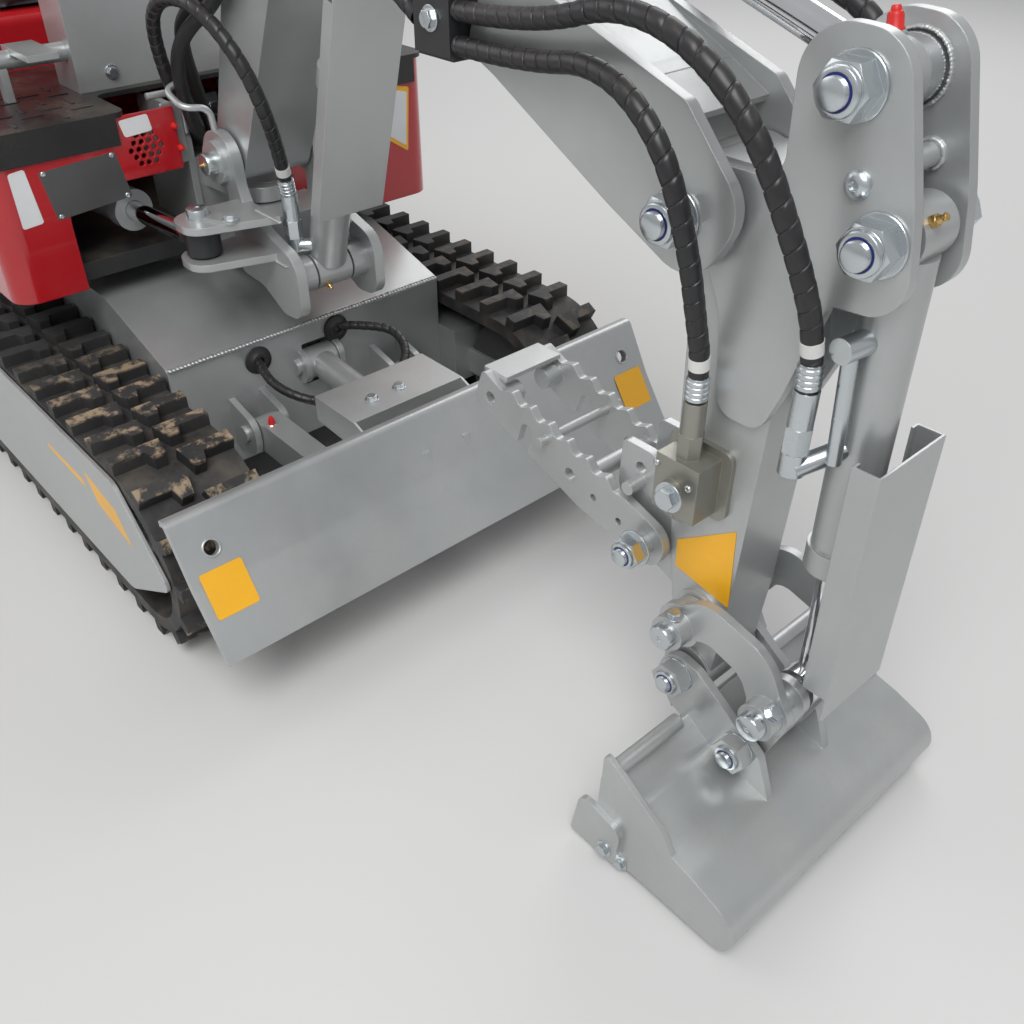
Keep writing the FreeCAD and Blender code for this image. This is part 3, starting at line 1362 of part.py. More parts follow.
nodes = {
    "car_body": car_body(),
    "track_frame_right": right_frame,
    "track_frame_left": mirrored(right_frame),
    "track_right": right_track,
    "track_left": mirrored(right_track),
    "sprockets": sprockets(),
    "track_wheels": track_wheels(),
    "travel_motors": travel_motors(),
    "slew_ring": upright(0, 0, RING_RADIUS, BODY_TOP, BODY_TOP + RING_HEIGHT),
    "blade": blade(),
    "blade_arms": blade_arms(),
    "blade_cover": blade_cover(),
    "blade_barrel": blade_barrel,
    "blade_rod": blade_rod,
    "house_frame": house_frame(),
    "kingpin_lugs": king_lugs(),
    "floor_plate": floor_plate(),
    "front_cover_right": front_cover(True),
    "front_cover_left": mirrored(front_cover(False)),
    "engine_hood": engine_hood(),
    "engine_block": engine_block(),
    "valve_block": valve_block(),
    "counterweight": counterweight(),
    "front_panel": front_panel(),
    "lever_shaft": lever_shaft(),
    "control_levers": control_levers(),
    "seat": seat(),
    "canopy_frame": canopy_frame(),
    "canopy_roof": canopy_roof(),
    "swing_bracket": swing_bracket(),
    "swing_barrel": swing_barrel,
    "swing_rod": swing_rod,
    "boom": boom(),
    "hose_clamps": hose_clamps(),
    "boom_barrel": boom_barrel,
    "boom_ports": boom_ports(boom_barrel),
    "boom_rod": boom_rod,
    "boom_guard": guard("boom", 0.27, 52, 30, -1),
    "arm_barrel": arm_barrel,
    "arm_rod": arm_rod,
    "arm": arm(),
    "port_block": port_block(),
    "bucket_barrel": bucket_barrel,
    "bucket_ports": bucket_ports(bucket_barrel),
    "bucket_rod": bucket_rod,
    "bucket_guard": guard("bucket", 0.38, 56, 24, 1),
    "rocker": rocker(),
    "bucket_link": bucket_link(),
    "bucket": bucket(),
    "thumb": thumb(),
    **{group: hoses(group) for group in HOSES},
}

os.makedirs("parts", exist_ok=True)
for name, shape in nodes.items():
    shape.exportStep("parts/" + name + ".step")
    box_of = shape.BoundBox
    print(f"{name:20s} solids {len(shape.Solids)} valid {shape.isValid()} volume {shape.Volume / 1e6:8.3f} "
          f"x {box_of.XMin:.0f}..{box_of.XMax:.0f} y {box_of.YMin:.0f}..{box_of.YMax:.0f} "
          f"z {box_of.ZMin:.0f}..{box_of.ZMax:.0f}")
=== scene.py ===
"""Looks of a mini excavator: paint, rubber, hoses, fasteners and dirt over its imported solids.

Metres. +X is forward, +Y the machine's left, +Z up. The floor lies at Z 0.
"""

import bisect
import json
import logging
import math
import random
from dataclasses import dataclass, field
from enum import Enum
from typing import Sequence

import bmesh
import bpy
from mathutils import Matrix, Vector

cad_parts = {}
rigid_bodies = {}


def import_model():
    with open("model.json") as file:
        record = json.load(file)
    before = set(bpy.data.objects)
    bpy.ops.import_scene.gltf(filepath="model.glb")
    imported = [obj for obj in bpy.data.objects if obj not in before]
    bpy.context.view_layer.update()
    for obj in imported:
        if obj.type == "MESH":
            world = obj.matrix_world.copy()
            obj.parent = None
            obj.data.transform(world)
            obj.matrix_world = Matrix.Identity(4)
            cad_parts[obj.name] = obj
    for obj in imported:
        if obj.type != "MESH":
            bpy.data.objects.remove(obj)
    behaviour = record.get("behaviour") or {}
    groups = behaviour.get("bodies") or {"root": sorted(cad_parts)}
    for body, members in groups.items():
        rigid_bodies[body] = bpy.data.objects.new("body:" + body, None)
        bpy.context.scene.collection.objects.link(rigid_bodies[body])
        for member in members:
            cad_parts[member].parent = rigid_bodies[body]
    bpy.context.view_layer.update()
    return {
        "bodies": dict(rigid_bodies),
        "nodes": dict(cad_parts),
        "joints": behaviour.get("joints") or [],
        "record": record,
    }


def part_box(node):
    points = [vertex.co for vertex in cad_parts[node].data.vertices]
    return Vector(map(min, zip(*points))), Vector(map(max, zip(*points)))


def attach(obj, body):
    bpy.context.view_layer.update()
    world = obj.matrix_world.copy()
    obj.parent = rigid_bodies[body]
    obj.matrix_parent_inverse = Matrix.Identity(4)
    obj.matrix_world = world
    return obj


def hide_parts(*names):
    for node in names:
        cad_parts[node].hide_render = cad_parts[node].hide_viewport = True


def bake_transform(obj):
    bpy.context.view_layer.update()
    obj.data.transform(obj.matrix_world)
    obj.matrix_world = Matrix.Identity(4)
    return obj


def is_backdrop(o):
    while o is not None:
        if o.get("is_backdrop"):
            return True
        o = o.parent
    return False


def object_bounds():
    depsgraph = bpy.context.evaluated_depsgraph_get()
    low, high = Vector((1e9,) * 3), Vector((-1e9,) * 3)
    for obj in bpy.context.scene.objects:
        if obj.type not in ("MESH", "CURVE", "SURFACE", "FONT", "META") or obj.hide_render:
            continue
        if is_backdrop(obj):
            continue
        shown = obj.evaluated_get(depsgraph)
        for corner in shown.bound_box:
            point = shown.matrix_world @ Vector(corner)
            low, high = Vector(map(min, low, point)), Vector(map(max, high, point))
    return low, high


LOG = logging.getLogger("mini_excavator")
IMAGE_SIDE = 1024

Colour = tuple[float, float, float]
Point = tuple[float, float, float]
Outline = tuple[tuple[float, float], ...]

MIX_SHARE, MIX_FIRST, MIX_SECOND, MIX_RESULT = 0, 6, 7, 2
NODE_SPACING = 190
RIGHTWARD = (0, -1, 0)
FORWARD = (1, 0, 0)
UPWARD = (0, 0, 1)


class Slot(Enum):
    """Material slots of the part's record."""

    SILVER = "silver_paint"
    RED = "red_paint"
    DARK = "dark_paint"
    RUBBER = "rubber"
    CAST = "cast"
    CHROME = "chrome"
    ZINC = "zinc"
    VINYL = "vinyl"
    PLASTIC = "plastic"
    HOSE = "hose"


class Sketch:
    """Adds and links the nodes of one node tree."""

    def __init__(self, tree: bpy.types.NodeTree) -> None:
        """Empties the tree.

        Args:
            tree: The material's or group's tree.
        """
        self.tree = tree
        self.tree.nodes.clear()
        self.column = 0

    def add(self, kind: str, settings: dict | None = None, **inputs) -> bpy.types.Node:
        """Adds a node.

        Args:
            kind: Node type's name without "ShaderNode".
            settings: Attributes of the node.
            inputs: Values or sockets for inputs, with spaces written as underscores.

        Returns:
            The node.
        """
        full = kind if kind.startswith("Node") else "ShaderNode" + kind
        node = self.tree.nodes.new(full)
        node.location = (self.column * NODE_SPACING, 0)
        self.column += 1
        for name, value in (settings or {}).items():
            setattr(node, name, value)
        for name, value in inputs.items():
            self.put(node.inputs[name.replace("_", " ")], value)
        return node

    def put(self, socket: bpy.types.NodeSocket, value) -> None:
        """Links or sets one input socket.

        Args:
            socket: The input.
            value: An output socket, a number or a colour.
        """
        if isinstance(value, bpy.types.NodeSocket):
            self.tree.links.new(value, socket)
        elif isinstance(value, tuple) and len(value) == 3 and socket.type == "RGBA":
            socket.default_value = (*value, 1.0)
        else:
            socket.default_value = value

    def math(self, operation: str, first, second=0.0, clamp: bool = False) -> bpy.types.NodeSocket:
        """Adds a Math node.

        Args:
            operation: Its operation.
            first: First value or socket.
            second: Second value or socket.
            clamp: Whether the result stays within 0 and 1.

        Returns:
            Its output.
        """
        node = self.add("Math", {"operation": operation, "use_clamp": clamp})
        self.put(node.inputs[0], first)
        self.put(node.inputs[1], second)
        return node.outputs[0]

    def ramp(self, value, low: float, high: float, to_low: float = 0.0, to_high: float = 1.0):
        """Maps a range smoothly.

        Args:
            value: Socket that is mapped.
            low: Value that gives to_low.
            high: Value that gives to_high.
            to_low: Result at low.
            to_high: Result at high.

        Returns:
            The result's socket.
        """
        node = self.add("MapRange", {"interpolation_type": "SMOOTHSTEP"})
        for name, number in (
            ("Value", value), ("From Min", low), ("From Max", high), ("To Min", to_low), ("To Max", to_high)
        ):
            self.put(node.inputs[name], number)
        return node.outputs["Result"]

    def blend(self, share, first, second) -> bpy.types.NodeSocket:
        """Mixes two colours.

        Args:
            share: Share of the second colour.
            first: First colour or socket.
            second: Second colour or socket.

        Returns:
            The mixed colour's socket.
        """
        node = self.add("Mix", {"data_type": "RGBA"})
        self.put(node.inputs[MIX_SHARE], share)
        self.put(node.inputs[MIX_FIRST], first)
        self.put(node.inputs[MIX_SECOND], second)
        return node.outputs[MIX_RESULT]

    def noise(self, scale: float, detail: float, roughness: float, vector) -> bpy.types.NodeSocket:
        """Adds a noise texture.

        Args:
            scale: Its scale.
            detail: Its detail.
            roughness: Its roughness.
            vector: The vector's socket.

        Returns:
            Its factor's socket.
        """
        node = self.add("TexNoise", None, Vector=vector, Scale=scale, Detail=detail, Roughness=roughness)
        return node.outputs[0]


@dataclass(frozen=True)
class Pattern:
    """A noise pattern and the range that it is cut to."""

    scale: float
    detail: float
    roughness: float
    low: float
    high: float

    def mask(self, sketch: Sketch, vector) -> bpy.types.NodeSocket:
        """Adds the pattern to a tree.

        Args:
            sketch: The tree's sketch.
            vector: The vector's socket.

        Returns:
            The mask's socket.
        """
        return sketch.ramp(sketch.noise(self.scale, self.detail, self.roughness, vector), self.low, self.high)


class Effects:
    """Node groups that more than one finish uses."""

    PATCHES = Pattern(7.0, 6.0, 0.65, 0.38, 0.66)
    SPECKS = Pattern(160.0, 2.0, 0.6, 0.45, 0.7)
    STREAKS = Pattern(1.6, 4.0, 0.7, 0.6, 0.74)
    SCUFFED = Pattern(5.0, 3.0, 0.6, 0.5, 0.62)
    UPWARD_RANGE = (0.25, 0.95)
    SPECK_SHARE = 0.55
    LOW_SHARE = 0.3
    STREAK_TURN = (0.4, 0.7, 0.3)
    STREAK_SCALE = (6.0, 90.0, 60.0)
    CLOUD = (3.4, 5.0, 0.6)
    GRAIN = (900.0, 2.0, 0.5)
    EDGE_RANGE = (0.995, 0.85)
    EDGE_SAMPLES = 4

    def __init__(self) -> None:
        """Builds the groups."""
        self.dust = self._dust()
        self.scuffs = self._scuffs()
        self.edges = self._edges()

    @staticmethod
    def _start(name: str, inputs: Sequence[tuple[str, float]], outputs: Sequence[str]):
        """Makes an empty group.

        Args:
            name: The group's name.
            inputs: Names and defaults of its float inputs.
            outputs: Names of its float outputs.

        Returns:
            The sketch, the input node and the output node.
        """
        tree = bpy.data.node_groups.new(name, "ShaderNodeTree")
        for label, value in inputs:
            socket = tree.interface.new_socket(label, in_out="INPUT", socket_type="NodeSocketFloat")
            socket.default_value = value
        for label in outputs:
            tree.interface.new_socket(label, in_out="OUTPUT", socket_type="NodeSocketFloat")
        sketch = Sketch(tree)
        return sketch, sketch.add("NodeGroupInput"), sketch.add("NodeGroupOutput")

    def _dust(self) -> bpy.types.NodeTree:
        """Dust that settles on faces that look up, and thins with height.

        Returns:
            The group.
        """
        sketch, given, result = self._start("settled_dust", (("Amount", 0.5), ("Height", 1.0)), ("Mask",))
        coordinates = sketch.add("TexCoord").outputs["Object"]
        height = sketch.add("SeparateXYZ", None, Vector=coordinates).outputs["Z"]
        normal = sketch.add("NewGeometry").outputs["Normal"]
        upward = sketch.ramp(sketch.add("SeparateXYZ", None, Vector=normal).outputs["Z"], *self.UPWARD_RANGE)
        patches = self.PATCHES.mask(sketch, coordinates)
        specks = self.SPECKS.mask(sketch, coordinates)
        share = sketch.math("DIVIDE", height, given.outputs["Height"], True)
        low = sketch.math("SUBTRACT", 1.0, share, True)
        speckled = sketch.math("MULTIPLY", specks, self.SPECK_SHARE)
        mixed = sketch.math("MULTIPLY", patches, sketch.math("ADD", 1.0 - self.SPECK_SHARE, speckled))
        lifted = sketch.math("ADD", upward, sketch.math("MULTIPLY", low, self.LOW_SHARE))
        facing = sketch.math("MULTIPLY", mixed, lifted)
        sketch.put(result.inputs["Mask"], sketch.math("MULTIPLY", facing, given.outputs["Amount"], True))
        return sketch.tree

    def _scuffs(self) -> bpy.types.NodeTree:
        """Fine scuffs and slow changes of gloss.

        Returns:
            The group.
        """
        sketch, given, result = self._start("scuffs", (("Scale", 1.0),), ("Mask", "Cloud", "Grain"))
        coordinates = sketch.add("TexCoord").outputs["Object"]
        turned = sketch.add(
            "Mapping", None, Vector=coordinates, Rotation=self.STREAK_TURN, Scale=self.STREAK_SCALE
        )
        scaled = sketch.add("VectorMath", {"operation": "SCALE"}, Vector=turned.outputs[0])
        sketch.put(scaled.inputs["Scale"], given.outputs["Scale"])
        streaks = self.STREAKS.mask(sketch, scaled.outputs[0])
        where = self.SCUFFED.mask(sketch, coordinates)
        sketch.put(result.inputs["Mask"], sketch.math("MULTIPLY", streaks, where))
        sketch.put(result.inputs["Cloud"], sketch.noise(*self.CLOUD, coordinates))
        sketch.put(result.inputs["Grain"], sketch.noise(*self.GRAIN, coordinates))
        return sketch.tree

    def _edges(self) -> bpy.types.NodeTree:
        """Rounded normals near edges, and a mask of those edges.

        Returns:
            The group.
        """
        sketch, given, result = self._start("eased_edges", (("Radius", 0.0016),), ("Mask",))
        sketch.tree.interface.new_socket("Normal", in_out="OUTPUT", socket_type="NodeSocketVector")
        bevel = sketch.add("Bevel", {"samples": self.EDGE_SAMPLES}, Radius=given.outputs["Radius"])
        rounded = bevel.outputs["Normal"]
        true = sketch.add("NewGeometry").outputs["True Normal"]
        dot = sketch.add("VectorMath", {"operation": "DOT_PRODUCT"})
        sketch.put(dot.inputs[0], rounded)
        sketch.put(dot.inputs[1], true)
        sketch.put(result.inputs["Mask"], sketch.ramp(dot.outputs["Value"], *self.EDGE_RANGE))
        sketch.put(result.inputs["Normal"], rounded)
        return sketch.tree


@dataclass(frozen=True)
class Finish:
    """A finish: base colour, gloss and how much dirt lies on it."""

    name: str
    slot: Slot
    colour: Colour
    roughness: float = 0.5
    metallic: float = 0.0
    coat: float = 0.0
    dust: float = 0.0
    dust_height: float = 1.2
    # Share and colour of a lighter tint at the edges: worn paint and bared metal, and also a painted
    # highlight along the edges.
    edge: float = 0.0
    edge_colour: Colour = (0.5, 0.5, 0.5)
    radius: float = 0.0014
    cloud: float = 0.06
    grain: float = 0.0
    dust_colour: Colour = (0.30, 0.235, 0.165)
    dust_roughness: float = 0.45
    least_roughness: float = 0.03
    cloud_range: tuple[float, float] = (0.3, 0.7)
    tint_range: tuple[float, float] = (0.35, 0.65)
    darker: float = 0.93
    lighter: float = 1.06
    scuff_share: float = 0.25

    def build(self, effects: Effects) -> bpy.types.Material:
        """Makes the material.

        Args:
            effects: The shared node groups.

        Returns:
            The material.
        """
        material = bpy.data.materials.new(self.name)
        material.use_nodes = True
        sketch = Sketch(material.node_tree)
        scuffs = sketch.add("Group", {"node_tree": effects.scuffs})
        colour = self.tint(sketch, effects, scuffs)
        smoothest = max(self.roughness - self.cloud, self.least_roughness)
        roughest = self.roughness + self.cloud
        rough = sketch.ramp(scuffs.outputs["Cloud"], *self.cloud_range, smoothest, roughest)
        shader = sketch.add("BsdfPrincipled", None, Metallic=self.metallic, Coat_Weight=self.coat)
        normal = None
        if self.radius > 0:
            edges = sketch.add("Group", {"node_tree": effects.edges}, Radius=self.radius)
            normal = edges.outputs["Normal"]
            # Edges get a lighter tint: worn paint and bared metal, and also a painted highlight along the
            # edges.
            if self.edge > 0:
                worn = sketch.math("MULTIPLY", edges.outputs["Mask"], self.edge)
                colour = sketch.blend(worn, colour, self.edge_colour)
        if self.dust > 0:
            dust = sketch.add("Group", {"node_tree": effects.dust}, Amount=self.dust, Height=self.dust_height)
            colour = sketch.blend(dust.outputs["Mask"], colour, self.dust_colour)
            dulled = sketch.math("MULTIPLY", dust.outputs["Mask"], self.dust_roughness)
            rough = sketch.math("ADD", rough, dulled, True)
            if self.metallic > 0:
                clean = sketch.math("SUBTRACT", 1.0, dust.outputs["Mask"], True)
                sketch.put(shader.inputs["Metallic"], sketch.math("MULTIPLY", clean, self.metallic))
        if self.grain > 0:
            bump = sketch.add("Bump", None, Strength=1.0, Distance=self.grain, Height=scuffs.outputs["Grain"])
            if normal is not None:
                sketch.put(bump.inputs["Normal"], normal)
            normal = bump.outputs["Normal"]
        if normal is not None:
            sketch.put(shader.inputs["Normal"], normal)
        sketch.put(shader.inputs["Base Color"], colour)
        sketch.put(shader.inputs["Roughness"], rough)
        out = sketch.add("OutputMaterial")
        sketch.put(out.inputs["Surface"], self.surface(sketch, shader))
        return material

    def surface(self, sketch: Sketch, shader: bpy.types.Node):
        """Gives what is seen: the one shader.

        Args:
            sketch: The material's sketch.
            shader: The finish's shader.

        Returns:
            The shader's socket.
        """
        return shader.outputs["BSDF"]

    def tint(self, sketch: Sketch, effects: Effects, scuffs: bpy.types.Node):
        """Gives the base colour with slow changes over the surface.

        Args:
            sketch: The material's sketch.
            effects: Not used.
            scuffs: The placed scuffs group.

        Returns:
            The colour's socket.
        """
        darker = tuple(c * self.darker for c in self.colour)
        lighter = tuple(min(c * self.lighter, 1.0) for c in self.colour)
        share = sketch.ramp(scuffs.outputs["Cloud"], *self.tint_range)
        marked = sketch.blend(share, darker, lighter)
        return sketch.blend(sketch.math("MULTIPLY", scuffs.outputs["Mask"], self.scuff_share), marked, darker)


@dataclass(frozen=True)
class TrackRubber(Finish):
    """Black rubber whose lugs carry dried mud on their outer faces."""

    wheel_height: float = 0.165
    rear: float = -0.4
    front: float = 0.6
    belt: float = 0.143
    mud_start: float = 0.18
    mud_full: float = 0.40
    mud_middle: float = 0.1
    left_share: float = 0.22
    mud_share: float = 0.92
    mud: Colour = (0.36, 0.27, 0.175)
    worn: Colour = (0.028, 0.028, 0.030)
    grey_dust: Colour = (0.20, 0.17, 0.135)
    tops_range: tuple[float, float] = (0.017, 0.0215)
    floor_range: tuple[float, float] = (0.003, -0.001)
    floor_dust: float = 0.3
    least_dust: float = 0.12
    clumps: Pattern = Pattern(30.0, 6.0, 0.7, 0.46, 0.60)
    thin: Pattern = Pattern(12.0, 5.0, 0.65, 0.35, 0.75)

    def tint(self, sketch: Sketch, effects: Effects, scuffs: bpy.types.Node):
        """Gives black rubber, grey dust and tan mud by the distance from the wheels' line.

        Args:
            sketch: The material's sketch.
            effects: Not used.
            scuffs: The placed scuffs group.

        Returns:
            The colour's socket.
        """
        coordinates = sketch.add("TexCoord").outputs["Object"]
        parts = sketch.add("SeparateXYZ", None, Vector=coordinates)
        nearest = sketch.math("MINIMUM", sketch.math("MAXIMUM", parts.outputs["X"], self.rear), self.front)
        along = sketch.math("SUBTRACT", parts.outputs["X"], nearest)
        over = sketch.math("SUBTRACT", parts.outputs["Z"], self.wheel_height)
        level = sketch.math("MULTIPLY", along, along)
        distance = sketch.math("SQRT", sketch.math("ADD", level, sketch.math("MULTIPLY", over, over)))
        tops = sketch.ramp(distance, *(self.belt + gap for gap in self.tops_range))
        floor = sketch.ramp(distance, *(self.belt + gap for gap in self.floor_range))
        ahead = sketch.ramp(parts.outputs["X"], self.mud_start, self.mud_full)
        right = sketch.ramp(parts.outputs["Y"], self.mud_middle, -self.mud_middle, self.left_share, 1.0)
        clumped = sketch.math("MULTIPLY", tops, self.clumps.mask(sketch, coordinates))
        mud = sketch.math("MULTIPLY", clumped, sketch.math("MULTIPLY", ahead, right))
        settled = sketch.math("ADD", sketch.math("MULTIPLY", floor, self.floor_dust), self.least_dust)
        dusty = sketch.math("MULTIPLY", settled, self.thin.mask(sketch, coordinates))
        base = sketch.blend(sketch.ramp(scuffs.outputs["Cloud"], *self.tint_range), self.colour, self.worn)
        dull = sketch.blend(dusty, base, self.grey_dust)
        return sketch.blend(sketch.math("MULTIPLY", mud, self.mud_share), dull, self.mud)


@dataclass(frozen=True)
class EyedRod(Finish):
    """A chromed rod whose eye is painted or left as cast."""

    slot: Slot = Slot.CHROME
    colour: Colour = (0.72, 0.73, 0.75)
    roughness: float = 0.10
    metallic: float = 1.0
    dust: float = 0.05
    dust_height: float = 1.0
    edge_colour: Colour = (0.6, 0.6, 0.6)
    radius: float = 0.0005
    cloud: float = 0.03
    eye: Point = (0.0, 0.0, 0.0)
    eye_radius: float = 0.028
    eye_colour: Colour = (0.42, 0.43, 0.43)
    eye_roughness: float = 0.42
    eye_metallic: float = 0.5
    eye_blur: float = 0.0006

    def surface(self, sketch: Sketch, shader: bpy.types.Node):
        """Lays the eye's finish over the chrome, near the pin.

        Args:
            sketch: The material's sketch.
            shader: The chrome's shader.

        Returns:
            The mixed shader's socket.
        """
        paint = sketch.add(
            "BsdfPrincipled", None, Metallic=self.eye_metallic, Roughness=self.eye_roughness,
            Base_Color=(*self.eye_colour, 1.0),
        )
        gap = sketch.add("VectorMath", {"operation": "DISTANCE"})
        sketch.put(gap.inputs[0], sketch.add("TexCoord").outputs["Object"])
        sketch.put(gap.inputs[1], self.eye)
        outer, inner = self.eye_radius + self.eye_blur, self.eye_radius - self.eye_blur
        near = sketch.ramp(gap.outputs["Value"], outer, inner)
        mix = sketch.add("MixShader")
        sketch.put(mix.inputs[0], near)
        sketch.put(mix.inputs[1], shader.outputs["BSDF"])
        sketch.put(mix.inputs[2], paint.outputs["BSDF"])
        return mix.outputs["Shader"]


class Paints:
    """All finishes of the machine."""

    SILVER = Finish("silver_metallic_paint", Slot.SILVER, (0.47, 0.485, 0.485), 0.36, 0.60, 0.15, 0.14, 0.7,
                    0.35, (0.66, 0.67, 0.67), 0.0016, 0.05, 0.00003)
    # Its edges take a brighter red: a painted highlight.
    RED = Finish("red_gloss_paint", Slot.RED, (0.44, 0.006, 0.012), 0.22, 0.0, 0.6, 0.05, 2.0, 0.1,
                 (0.75, 0.10, 0.10), 0.003, 0.04)
    DARK = Finish("dark_frame_paint", Slot.DARK, (0.020, 0.021, 0.023), 0.45, 0.0, 0.1, 0.35, 1.4, 0.2,
                  (0.12, 0.12, 0.12), 0.0016, 0.08)
    DECK = Finish("floor_black", Slot.DARK, (0.013, 0.013, 0.014), 0.40, 0.0, 0.1, 0.22, 2.5, 0.1,
                  (0.10, 0.10, 0.10), 0.002, 0.08)
    CAST = Finish("cast_iron_grey", Slot.CAST, (0.09, 0.09, 0.095), 0.55, 0.5, 0.0, 0.3, 1.0, 0.2,
                  (0.3, 0.3, 0.3), 0.002, 0.08, 0.0002)
    ZINC = Finish("zinc_plate", Slot.ZINC, (0.58, 0.62, 0.64), 0.26, 0.95, 0.0, 0.06, 1.0, 0.2,
                  (0.8, 0.82, 0.84), 0.0010, 0.08, 0.00002)
    VINYL = Finish("seat_vinyl", Slot.VINYL, (0.022, 0.022, 0.024), 0.48, 0.0, 0.0, 0.12, 2.5, 0.0,
                   (0.1, 0.1, 0.1), 0.004, 0.06, 0.0002)
    PLASTIC = Finish("black_plastic", Slot.PLASTIC, (0.018, 0.018, 0.019), 0.42, 0.0, 0.0, 0.08, 2.5, 0.0,
                     (0.1, 0.1, 0.1), 0.002, 0.05)
    RUBBER = TrackRubber("track_rubber", Slot.RUBBER, (0.016, 0.016, 0.017), 0.62, 0.0, 0.0, 0.0, 1.0, 0.15,
                         (0.06, 0.055, 0.05), 0.002, 0.1, 0.0003)
    # The strip's edges take a lighter grey: a painted highlight along its turns.
    GUARD = Finish("spiral_guard", Slot.HOSE, (0.017, 0.017, 0.019), 0.38, 0.0, 0.0, 0.10, 2.5, 0.25,
                   (0.10, 0.10, 0.105), 0.0007, 0.07, 0.00005)
    HOSE = Finish("hose_rubber", Slot.HOSE, (0.014, 0.014, 0.015), 0.46, 0.0, 0.0, 0.10, 2.5, 0.0,
                  (0.10, 0.10, 0.10), 0.0, 0.06, 0.0001)
    BRASS = Finish("nipple_brass", Slot.ZINC, (0.62, 0.42, 0.16), 0.26, 0.95, 0.0, 0.05, 1.0, 0.2,
                   (0.8, 0.6, 0.3), 0.0004, 0.05)
    CAP = Finish("red_cap", Slot.PLASTIC, (0.62, 0.018, 0.015), 0.40, 0.0, 0.0, 0.03, 2.0, 0.0,
                 (0.7, 0.1, 0.1), 0.0, 0.04)
    BLUE = Finish("blue_nylon", Slot.PLASTIC, (0.014, 0.022, 0.16), 0.45, 0.0, 0.0, 0.05, 2.0, 0.0,
                  (0.1, 0.1, 0.3), 0.0, 0.04)
    YELLOW = Finish("yellow_label", Slot.PLASTIC, (0.88, 0.44, 0.012), 0.38, 0.0, 0.2, 0.10, 1.0, 0.0,
                    (0.8, 0.5, 0.1), 0.0, 0.03)
    WHITE = Finish("white_label", Slot.PLASTIC, (0.74, 0.75, 0.76), 0.38, 0.0, 0.2, 0.08, 2.0, 0.0,
                   (0.7, 0.7, 0.7), 0.0, 0.03)
    PLATE = Finish("name_plate_metal", Slot.ZINC, (0.13, 0.13, 0.13), 0.34, 0.6, 0.0, 0.08, 2.0, 0.4,
                   (0.5, 0.5, 0.5), 0.0006, 0.04)
    TAPE = Finish("white_band", Slot.PLASTIC, (0.68, 0.68, 0.66), 0.5, 0.0, 0.0, 0.15, 2.0, 0.0,
                  (0.6, 0.6, 0.6), 0.0, 0.04)
    GROMMET = Finish("grommet_rubber", Slot.HOSE, (0.018, 0.018, 0.018), 0.55, 0.0, 0.0, 0.25, 1.5, 0.0,
                     (0.1, 0.1, 0.1), 0.0, 0.05, 0.0001)
    BLADE_ROD = EyedRod("blade_rod_chrome", eye=(0.742, 0.0, 0.236), eye_radius=0.026)
    BOOM_ROD = EyedRod("boom_rod_chrome", eye=(0.6545, 0.0, 0.955), eye_radius=0.028)
    ARM_ROD = EyedRod("arm_rod_chrome", eye=(1.442, 0.0, 0.937), eye_radius=0.031)
    BUCKET_ROD = EyedRod("bucket_rod_chrome", eye=(1.502, 0.0, 0.261), eye_radius=0.027)
    SWING_ROD = EyedRod("swing_rod_chrome", eye=(0.415, -0.17, 0.53), eye_radius=0.045,
                        eye_colour=(0.035, 0.036, 0.038), eye_metallic=0.3)
    PORT = Finish("dull_zinc", Slot.ZINC, (0.33, 0.325, 0.29), 0.40, 0.8, 0.0, 0.08, 1.0, 0.25,
                  (0.6, 0.6, 0.56), 0.0010, 0.08, 0.00003)


@dataclass(frozen=True)
class Frame:
    """One point of a hose's line with its directions and its distance from the start."""

    place: Vector
    ahead: Vector
    side: Vector
    over: Vector
    travelled: float


